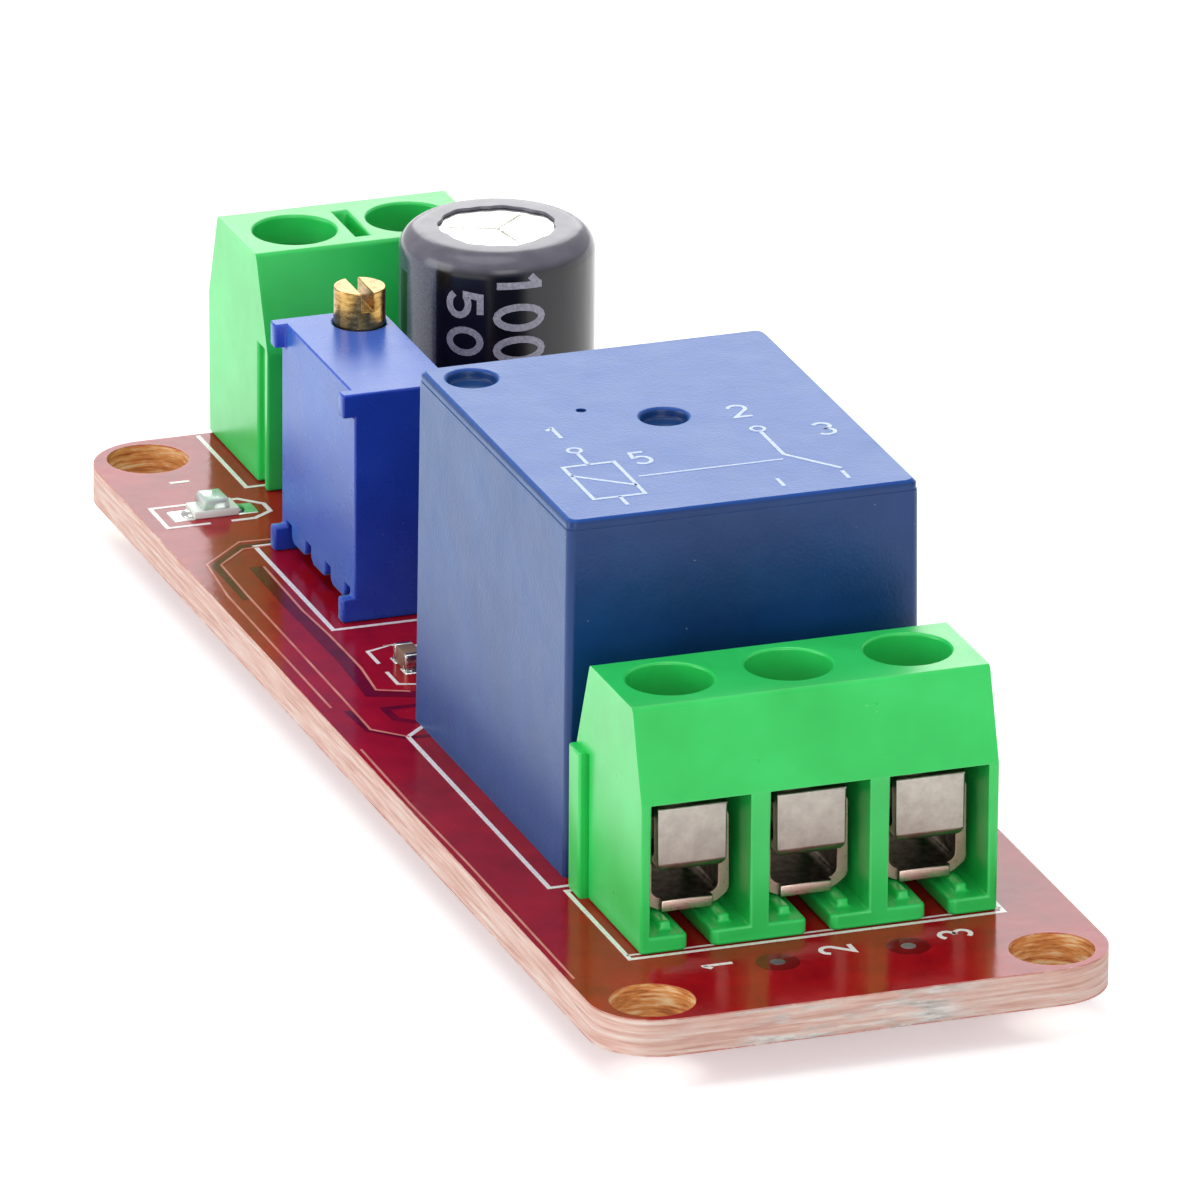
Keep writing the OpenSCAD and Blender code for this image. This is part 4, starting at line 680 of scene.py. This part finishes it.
# Strokes of the plain digits in a cell one unit high: points, and whether the stroke is closed
DIGITS = {
    "0": [(oval(0, 1)[:-1], True)],
    "1": [([(0.04, 0.74), (0.26, 0.92)], False), ([(0.28, 1.0), (0.28, 0.0)], False)],
    "2": [(oval(0.45, 1, 170, -30, 10) + [(0.0, 0.0), (DIGIT_W, 0.0)], False)],
    "3": [(oval(0.5, 1, 150, -90, 10), False), (oval(0.0, 0.5, 90, -150, 12), False)],
    "5": [([(0.5, 1.0), (0.08, 1.0), (0.04, 0.55)] + oval(0.0, 0.62, 130, -150, 14), False)],
    "+": [([(0.0, 0.5), (DIGIT_W, 0.5)], False), ([(DIGIT_W / 2, 0.22), (DIGIT_W / 2, 0.78)], False)],
    "-": [([(0.0, 0.5), (DIGIT_W, 0.5)], False)],
}


def finer(points):
    """The same line with more points, so that it can follow a curved surface."""
    found = [points[0]]
    for start, end in zip(points, points[1:]):
        pieces = max(1, math.ceil((end - start).length / STROKE_PIECE))
        found += [start.lerp(end, i / pieces) for i in range(1, pieces + 1)]
    return found


def add_text(mesh, text, size, line, place, origin, turn=0.0, spacing=0.26, stretch=1.0):
    """Plain digits drawn as strokes, starting at origin and running along turn."""
    spin = Matrix.Rotation(math.radians(turn), 2)
    pen = 0.0
    for sign in text:
        for points, closed in DIGITS[sign]:
            cell = [Vector(((pen + px * stretch) * size, py * size)) for px, py in points]
            moved = [Vector(origin) + spin @ point for point in cell]
            add_line(mesh, moved if closed else finer(moved), line, place, closed)
        pen += DIGIT_W * stretch + spacing


# ------------------------------------------------------------------ print and copper on the board


def islands(node):
    """Lowest and highest corner of each separate solid of a node."""
    mesh = bmesh.new()
    mesh.from_mesh(frame["nodes"][node].data)
    bmesh.ops.remove_doubles(mesh, verts=mesh.verts, dist=TOUCH * MM)
    left, found = set(mesh.verts), []
    while left:
        group, queue = [], [left.pop()]
        while queue:
            vert = queue.pop()
            group.append(vert.co / MM)
            for other in (edge.other_vert(vert) for edge in vert.link_edges):
                if other in left:
                    left.discard(other)
                    queue.append(other)
        found.append([Vector([pick(v[i] for v in group) for i in range(3)]) for pick in (min, max)])
    mesh.free()
    return sorted(found, key=lambda box: (round(box[0].x, 2), round(box[0].y, 2)))


def middle(low, high):
    """Centre of a box, seen from above."""
    return (low.x + high.x) / 2, (low.y + high.y) / 2


CHIPS = islands("resistor_bodies") + islands("chip_capacitor_bodies")
CHIP_ENDS = islands("resistor_ends") + islands("chip_capacitor_ends")
FEET = [
    (low, high, middle(*span(body))[0])
    for body, leads in (("timer_body", "timer_leads"), ("transistor_body", "transistor_leads"))
    for low, high in islands(leads)]
JOINTS = [middle(low, high) for low, high in islands("solder_joints")]
TIMER_LOW, TIMER_HIGH = span("timer_body")
DIODE_LOW, DIODE_HIGH = span("diode_body")
LEDS = [span(name + "_led_base") for name in ("power", "status")]


def along_x(low, high):
    """Whether a box is longer in X than in Y."""
    return high.x - low.x > high.y - low.y


def lamp_spots(out, along, across):
    """Centre and half sizes of a spot beyond each end of each lamp."""
    for low, high in LEDS:
        x, y = middle(low, high)
        for shift in (-out, out):
            if along_x(low, high):
                yield x + shift, y, along, across
            else:
                yield x, y + shift, across, along


def relay_outline(ink):
    """A box with its rear corners cut, wider than the relay."""
    front, turn, back = RELAY_LOW.y - 0.72, RELAY_HIGH.y - 1.95, RELAY_HIGH.y - 1.1
    left, right = RELAY_LOW.x - 0.9, RELAY_HIGH.x + 0.9
    corners = [(RELAY_HIGH.x, back), (RELAY_LOW.x, back), (left, turn)]
    add_line(ink, [(left, front), (right, front), (right, turn)] + corners, LINE_W, on_top, True)


def outline(ink, low, high, left, right, front, back, width=LINE_W):
    """A box that stands out from a part by these margins. Returns its sides."""
    x0, x1, y0, y1 = low.x - left, high.x + right, low.y - front, high.y + back
    add_line(ink, [(x0, y0), (x1, y0), (x1, y1), (x0, y1)], width, on_top, True)
    return x0, x1, y0, y1


def part_outlines(ink):
    """Boxes, lines and a circle round the larger parts."""
    left, right, front, _ = outline(ink, OUTPUT_LOW, OUTPUT_HIGH, 0.16, 0.22, 0.2, -0.3)
    add_line(ink, [(left, front + 0.42), (right, front + 0.42)], 0.12, on_top)
    outline(ink, TRIMMER_LOW, TRIMMER_HIGH, 0.6, 0.5, 0.55, 0.2)
    left, _, front, back = outline(ink, DIODE_LOW, DIODE_HIGH, 0.9, 0.9, 0.3, 0.3, THIN_W)
    add_line(ink, [(left + 0.35, front), (left + 0.35, back)], 0.3, on_top)
    # The supply terminal's box is open at the board's edge
    left, right = SUPPLY_LOW.x - 0.66, SUPPLY_HIGH.x + 0.5
    front, back = SUPPLY_LOW.y + 0.85, BOARD_HIGH.y - 0.2
    add_line(ink, [(left, back), (left, front), (right, front), (right, back)], LINE_W, on_top)
    for y in (TIMER_HIGH.y + 0.25, TIMER_LOW.y - 0.25):
        add_line(ink, [(TIMER_LOW.x + 0.3, y), (TIMER_HIGH.x - 0.3, y)], THIN_W, on_top)
    add_line(ink, circle(SLEEVE_MIDDLE.x, SLEEVE_MIDDLE.y, SLEEVE_R + 0.45, 48), LINE_W, on_top, True)


def led_marks(ink, low, high):
    """A box open toward the lamp at one end and a D at the other."""
    x, y = middle(low, high)
    along = along_x(low, high)

    def place(u, v, h):
        """A point u along and v across the lamp."""
        return on_top(x + (u if along else -v), y + (v if along else u), h)

    half, near, far = 1.2, 0.45, 2.38
    add_line(ink, [(-0.48, -half), (-far, -half), (-far, half), (-0.48, half)], LINE_W, place)
    add_line(ink, [
        (near, -half), (1.5, -half), (far, -0.6), (far, 0.3), (1.5, half), (near, half)], LINE_W, place)


def brackets(ink, low, high):
    """Two C shapes with cut corners round a chip."""
    x, y = middle(low, high)
    side, end = (high.x - low.x) / 2 + 0.72, (high.y - low.y) / 2 + 1.87
    left = [(-side, 0.5), (-side, end - 0.42), (-side + 1.2, end)]
    points = left + [(-px, py) for px, py in left[::-1]]
    for sign in (-1, 1):
        add_line(ink, [(x + px, y + sign * py) for px, py in points], THIN_W, on_top)


def signs(ink):
    """Plain numbers before the output ways, signs beside the supply ways and the capacitor."""
    for number in "123":
        x = middle(*span("output_screw_" + number))[0]
        add_text(ink, number, 1.3, 0.2, on_top, (x + 0.7, OUTPUT_LOW.y - 2.2), turn=90)
    add_text(ink, "-", 1.6, 0.22, on_top, (SUPPLY_LOW.x - 3.6, 28.2))
    add_text(ink, "+", 1.6, 0.22, on_top, (SUPPLY_HIGH.x + 1.3, 28.2))
    add_text(ink, "+", 1.6, 0.2, on_top, (SLEEVE_MIDDLE.x + SLEEVE_R + 0.75, SLEEVE_MIDDLE.y - 1.2))


ink = bmesh.new()
relay_outline(ink)
part_outlines(ink)
for low, high in LEDS:
    led_marks(ink, low, high)
for low, high in CHIPS:
    brackets(ink, low, high)
signs(ink)
add_piece("silkscreen", ink, WHITE_INK)

# Copper under the mask: gaps between the tracks are darker; raised ridges along the copper edges carry a
# painted highlight, a pale colour where they would catch the light. A gap has its points and its width.
GAP_T, RIDGE_T, RIDGE_W = 0.006, 0.02, 0.1
GAPS = [
    ([(-8.2, 18.5), (-8.25, 13.5), (-8.15, 7.0), (-8.32, 3.1), (-6.7, 2.5), (-4.0, 2.5)], 0.62),
    ([(-5.0, 1.2), (-8.35, 1.35), (-8.3, 0.1), (-7.6, -0.5), (-5.0, -0.5)], 0.36),
    ([(-9.9, 1.6), (-9.75, -0.8), (-8.5, -2.05), (-7.0, -2.15)], 0.3),
    ([(-9.78, 15.0), (-9.74, 19.2), (-7.95, 20.95), (-5.6, 20.95)], 0.36),
    ([(9.6, 30.5), (9.6, 12.8), (10.2, 11.6), (10.2, 2.0), (8.9, 0.2), (8.9, -18.6)], 0.4),
    ([(7.2, 16.0), (8.3, 14.8), (8.3, 8.6)], 0.4),
    ([(-3.0, 3.4), (-3.0, 8.0), (-1.2, 9.6), (-1.2, 13.6)], 0.3),
]
RIDGES = [
    [(-5.6, 21.3), (-7.95, 21.45), (-10.08, 19.35), (-10.4, 15.66), (-10.42, 2.1)],
    [(-5.6, 20.72), (-8.05, 20.62), (-9.52, 19.16), (-9.6, 15.4), (-9.62, 3.0), (-9.66, -0.7), (-8.4, -2.0)],
    [(-7.88, 18.4), (-7.97, 13.1), (-7.82, 9.9), (-7.78, 6.0), (-8.0, 3.46), (-6.7, 2.85)],
    [(-10.75, -2.7), (-10.8, -9.0), (-10.7, -16.0), (-10.72, -29.0)],
    [(9.85, 30.5), (9.85, 12.9), (10.45, 11.7), (10.45, 2.0), (9.15, 0.2), (9.15, -18.6)],
]
gaps = bmesh.new()
for points, width in GAPS:
    add_line(gaps, points, width, on_top, height=GAP_T)
add_piece("copper_gaps", gaps, GAP, smooth_angle=0)
# Ridges along the copper edges, painted pale as a painted highlight
ridges = bmesh.new()
for points in RIDGES:
    add_line(ridges, points, RIDGE_W, on_top, height=RIDGE_T)
add_piece("copper_edges", ridges, EDGE_HIGHLIGHT, smooth_angle=0)

# Tracks on the underside join the solder joints
COPPER_W = {"wide": 2.6, "middle": 1.5, "narrow": 0.7}
ROUTES = [
    ("wide", [(-5.90, -15.60), (-5.90, -19.6), (-4.85, -21.69)]),
    ("wide", [(0.10, -2.00), (0.10, -18.0), (0.23, -21.69)]),
    ("wide", [(6.10, -15.60), (6.10, -19.8), (5.31, -21.69)]),
    ("narrow", [(-5.90, -3.20), (-8.6, -0.5), (-8.6, 10.0), (-4.46, 13.27)]),
    ("narrow", [(6.10, -3.20), (9.2, 0.0), (9.2, 14.0), (5.52, 18.0), (5.52, 22.22)]),
    ("middle", [(2.68, 28.62), (5.52, 25.6), (5.52, 22.22)]),
    ("middle", [(-2.40, 28.62), (2.02, 24.4), (2.02, 22.22)]),
    ("narrow", [(-4.46, 15.82), (-8.2, 17.5), (-8.2, 26.0), (-2.40, 28.62)]),
    ("narrow", [(-4.46, 18.35), (-1.6, 16.2), (-1.6, 6.0), (3.0, 3.0)]),
]
tracks = bmesh.new()
for size, points in ROUTES:
    add_line(tracks, points, COPPER_W[size], on_bottom, height=MASK_T)
add_piece("bottom_tracks", tracks, TRACK, smooth_angle=0)

# Tinned rings round the joints and vias below, tinned plates under the small parts above
VIAS = [
    (-2.40, -29.92), (3.15, -29.99), (-1.6, 6.0), (3.0, 3.0),
    (9.2, 6.4), (8.4, 20.5), (9.6, -4.0), (9.6, -14.0)]
pads = bmesh.new()
for x, y in JOINTS:
    add_line(pads, circle(x, y, 1.3, 32), 0.5, on_bottom, True, height=0.045)
for x, y in VIAS:
    add_line(pads, circle(x, y, 0.36, 20), 0.34, on_bottom, True, height=0.04)
for low, high in CHIP_ENDS:
    add_plate(pads, low.x - 0.08, low.y - 0.22, high.x + 0.08, high.y + 0.22, 0.08)
for low, high, _ in FEET:
    add_plate(pads, low.x - 0.15, low.y - 0.14, high.x + 0.15, high.y + 0.14, 0.08)
for x, y, half_x, half_y in lamp_spots(1.4, 0.5, 0.6):
    add_plate(pads, x - half_x, y - half_y, x + half_x, y + half_y)
for x in (DIODE_LOW.x - 0.35, DIODE_HIGH.x + 0.35):
    add_plate(pads, x - 0.55, DIODE_LOW.y + 0.4, x + 0.55, DIODE_HIGH.y - 0.4)
add_piece("pads", pads, PAD, smooth_angle=20)


def add_dome(mesh, x, y, across, along, height):
    """Half an ellipsoid on the board, of half sizes across in x and along in y."""
    last = None
    around = DOME_STEPS
    for ring in range(DOME_RINGS):
        tilt = math.pi / 2 * ring / DOME_RINGS
        row = [mesh.verts.new(on_top(
            x + across * math.cos(tilt) * math.cos(turn), y + along * math.cos(tilt) * math.sin(turn),
            height * math.sin(tilt))) for turn in (2 * math.pi * i / around for i in range(around))]
        if last:
            for i in range(around):
                mesh.faces.new((last[i], last[(i + 1) % around], row[(i + 1) % around], row[i]))
        else:
            mesh.faces.new(row[::-1])
        last = row
    tip = mesh.verts.new(on_top(x, y, height))
    for i in range(around):
        mesh.faces.new((last[i], last[(i + 1) % around], tip))


# Solder stands on the side of an end or a lead that faces away from its part
blobs = bmesh.new()
for low, high in CHIP_ENDS:
    x, y = middle(low, high)
    part_y = min((middle(*chip)[1] for chip in CHIPS), key=lambda c: abs(c - y))
    outward = math.copysign(0.12, y - part_y)
    add_dome(blobs, x, y + outward, (high.x - low.x) / 2 + 0.02, 0.3, 0.7 * (high.z - low.z))
for low, high, part_x in FEET:
    x, y = middle(low, high)
    add_dome(blobs, x + math.copysign(0.2, x - part_x), y, 0.42, 0.3, 0.2)
for x, y, half_x, half_y in lamp_spots(1.05, 0.35, 0.5):
    add_dome(blobs, x, y, half_x, half_y, 0.22)
add_piece("solder_fillets", blobs, SOLDER)

# Filled vias: a dark rim and a grey cap
rims, caps = bmesh.new(), bmesh.new()
for x, y in VIAS:
    add_line(rims, circle(x, y, 0.6, 20), 0.6, on_top, True, height=0.008)
    add_dome(caps, x, y, 0.32, 0.32, 0.05)
add_piece("via_rims", rims, RIM, smooth_angle=0)
add_piece("via_caps", caps, FILL)

# ------------------------------------------------------------------ print on the parts


def on_sleeve(start, top):
    """Text runs down the sleeve, with its feet at the given direction in degrees."""

    def place(u, v, h):
        """A point u below the top and v round the sleeve."""
        turn = math.radians(start) + v / SLEEVE_R
        radius = SLEEVE_R + h
        return (SLEEVE_MIDDLE.x + radius * math.cos(turn), SLEEVE_MIDDLE.y + radius * math.sin(turn), top - u)

    return place


# Size, line, direction, top, spacing and stretch of each row of digits on the sleeve
VALUES = {"100": (1.95, 0.31, 250.8, 13.45, 0.26, 0.87), "50": (1.36, 0.29, 222.4, 12.6, 0.47, 1.36)}
values = bmesh.new()
for text, (size, line, start, top, spacing, stretch) in VALUES.items():
    add_text(values, text, size, line, on_sleeve(start, top), (0, 0), spacing=spacing, stretch=stretch)
add_piece("capacitor_values", values, GREY_INK)


def on_relay(x, y, h):
    """A point on the relay; its print starts on the lowered top."""
    return (x, y, RELAY_HIGH.z - INK_T + h)


# A plain drawing of a coil and a changeover contact, with numbered pins
DIAGRAM_W = 0.17
DIAGRAM = [
    [(-5.6, -13.8), (-3.4, -15.6)], [(-4.5, -12.8), (-4.5, -11.4)], [(-4.5, -16.6), (-4.5, -17.6)],
    [(3.4, -11.4), (3.4, -14.2), (5.1, -16.4)], [(2.2, -17.6), (2.2, -16.7)], [(5.0, -17.6), (5.0, -16.7)]]
PINS = {"1": (-4.9, -9.6), "2": (3.0, -9.6), "3": (5.6, -12.6), "5": (-2.6, -13.4)}
diagram = bmesh.new()
add_line(diagram, [(-5.6, -16.6), (-3.4, -16.6), (-3.4, -12.8), (-5.6, -12.8)], DIAGRAM_W, on_relay, True)
for points in DIAGRAM:
    add_line(diagram, points, DIAGRAM_W, on_relay)
for x in (-4.5, 3.4):
    add_line(diagram, circle(x, -11.1, 0.28, 16), 0.14, on_relay, True)
add_line(diagram, [(-3.0, -14.7), (3.2, -14.7)], 0.12, on_relay)
for number, place in PINS.items():
    add_text(diagram, number, 1.3, DIAGRAM_W, on_relay, place)
add_piece("relay_diagram", diagram, RELAY_INK)

# ------------------------------------------------------------------ camera, light and floor

TARGET = Vector((1.444, 2.418, 4.810)) * MM
AZIMUTH, ELEVATION, ROLL = (math.radians(v) for v in (-19.556, 21.146, 0.346))
DISTANCE = 848.757 * MM
SENSOR = 36.0
FOCAL_PIXELS, FRAME_PIXELS = 20492.158, 1200
NEAREST, FARTHEST = 0.05, 10  # in metres

flat = math.cos(ELEVATION)
back = Vector((math.sin(AZIMUTH) * flat, -math.cos(AZIMUTH) * flat, math.sin(ELEVATION)))
right = (-back).cross(Vector((0, 0, 1))).normalized()
up = right.cross(-back).normalized()
rolled_right = right * math.cos(ROLL) + up * math.sin(ROLL)
rolled_up = up * math.cos(ROLL) - right * math.sin(ROLL)
camera_data = bpy.data.cameras.new("camera")
camera_data.sensor_width = SENSOR
camera_data.lens = SENSOR * FOCAL_PIXELS / FRAME_PIXELS
camera_data.clip_start, camera_data.clip_end = NEAREST, FARTHEST
camera = bpy.data.objects.new("camera", camera_data)
bpy.context.scene.collection.objects.link(camera)
camera.matrix_world = Matrix.Translation(TARGET + back * DISTANCE) @ Matrix(
    (rolled_right, rolled_up, back)).transposed().to_4x4()
bpy.context.scene.camera = camera


def add_light(name, place, size, watts):
    """Soft square lamp that faces the object; place and size in metres."""
    data = bpy.data.lights.new(name, "AREA")
    data.shape, data.size, data.energy = "SQUARE", size, watts
    lamp = bpy.data.objects.new(name, data)
    bpy.context.scene.collection.objects.link(lamp)
    lamp.location = place
    lamp.rotation_euler = (TARGET - Vector(place)).to_track_quat("-Z", "Y").to_euler()


add_light("overhead", (-0.10, 0.00, 0.70), 0.5, 1.5)
add_light("front", (-0.10, -0.75, 0.22), 0.4, 1.7)
add_light("left", (-0.62, 0.05, 0.16), 0.4, 1.9)
add_light("behind", (0.28, 0.80, 0.35), 0.5, 2.1)


def wired(tree, kind, inputs=(), operation=None):
    """Outputs of a new node; its inputs, by name or number, are set or linked."""
    made = tree.nodes.new(kind)
    if operation:
        made.operation = operation
    for key, value in dict(inputs).items():
        if isinstance(value, bpy.types.NodeSocket):
            tree.links.new(value, made.inputs[key])
        else:
            made.inputs[key].default_value = value
    return made.outputs


# A white studio, which lights matt surfaces less than it shows to the camera and in reflections
SHADE_LEVEL, SEEN_LEVEL = 0.7, 1.0
world = bpy.data.worlds.new("studio")
bpy.context.scene.world = world
world.use_nodes = True
tree = world.node_tree
tree.nodes.clear()
ray = wired(tree, "ShaderNodeLightPath")
mirrored = wired(tree, "ShaderNodeMath", {0: ray["Is Glossy Ray"], 1: ray["Is Transmission Ray"]}, "MAXIMUM")
seen = wired(tree, "ShaderNodeMath", {0: ray["Is Camera Ray"], 1: mirrored[0]}, "MAXIMUM")
level = wired(tree, "ShaderNodeMapRange", {"Value": seen[0], "To Min": SHADE_LEVEL, "To Max": SEEN_LEVEL})
sky = wired(tree, "ShaderNodeBackground", {"Strength": level["Result"]})
wired(tree, "ShaderNodeOutputWorld", {"Surface": sky[0]})

# A white floor just under the part, which glows for the camera and in reflections
FLOOR_HALF, FLOOR_DROP = 3.0, 0.00002  # in metres
FLOOR_COLOUR, FLOOR_GLOW = (0.86, 0.86, 0.86, 1), 0.45
floor_mesh = bpy.data.meshes.new("floor")
floor_z = cad_box[0].z - FLOOR_DROP
corners = [(sx * FLOOR_HALF, sy * FLOOR_HALF, floor_z) for sx, sy in ((-1, -1), (1, -1), (1, 1), (-1, 1))]
floor_mesh.from_pydata(corners, [], [(0, 1, 2, 3)])
floor = bpy.data.objects.new("floor", floor_mesh)
bpy.context.scene.collection.objects.link(floor)
paper = bpy.data.materials.new("floor")
paper.use_nodes = True
tree = paper.node_tree
tree.nodes.clear()
ray = wired(tree, "ShaderNodeLightPath")
for_camera = wired(tree, "ShaderNodeMath", {0: ray["Is Camera Ray"], 1: FLOOR_GLOW}, "MULTIPLY")
for_both = wired(tree, "ShaderNodeMath", {0: for_camera[0], 1: ray["Is Glossy Ray"]}, "ADD")
matt = wired(tree, "ShaderNodeBsdfDiffuse", {"Color": FLOOR_COLOUR})
glow = wired(tree, "ShaderNodeEmission", {"Strength": for_both[0]})
both = wired(tree, "ShaderNodeAddShader", {0: matt[0], 1: glow[0]})
wired(tree, "ShaderNodeOutputMaterial", {"Surface": both[0]})
floor_mesh.materials.append(paper)

bpy.context.scene.view_settings.view_transform = "Standard"
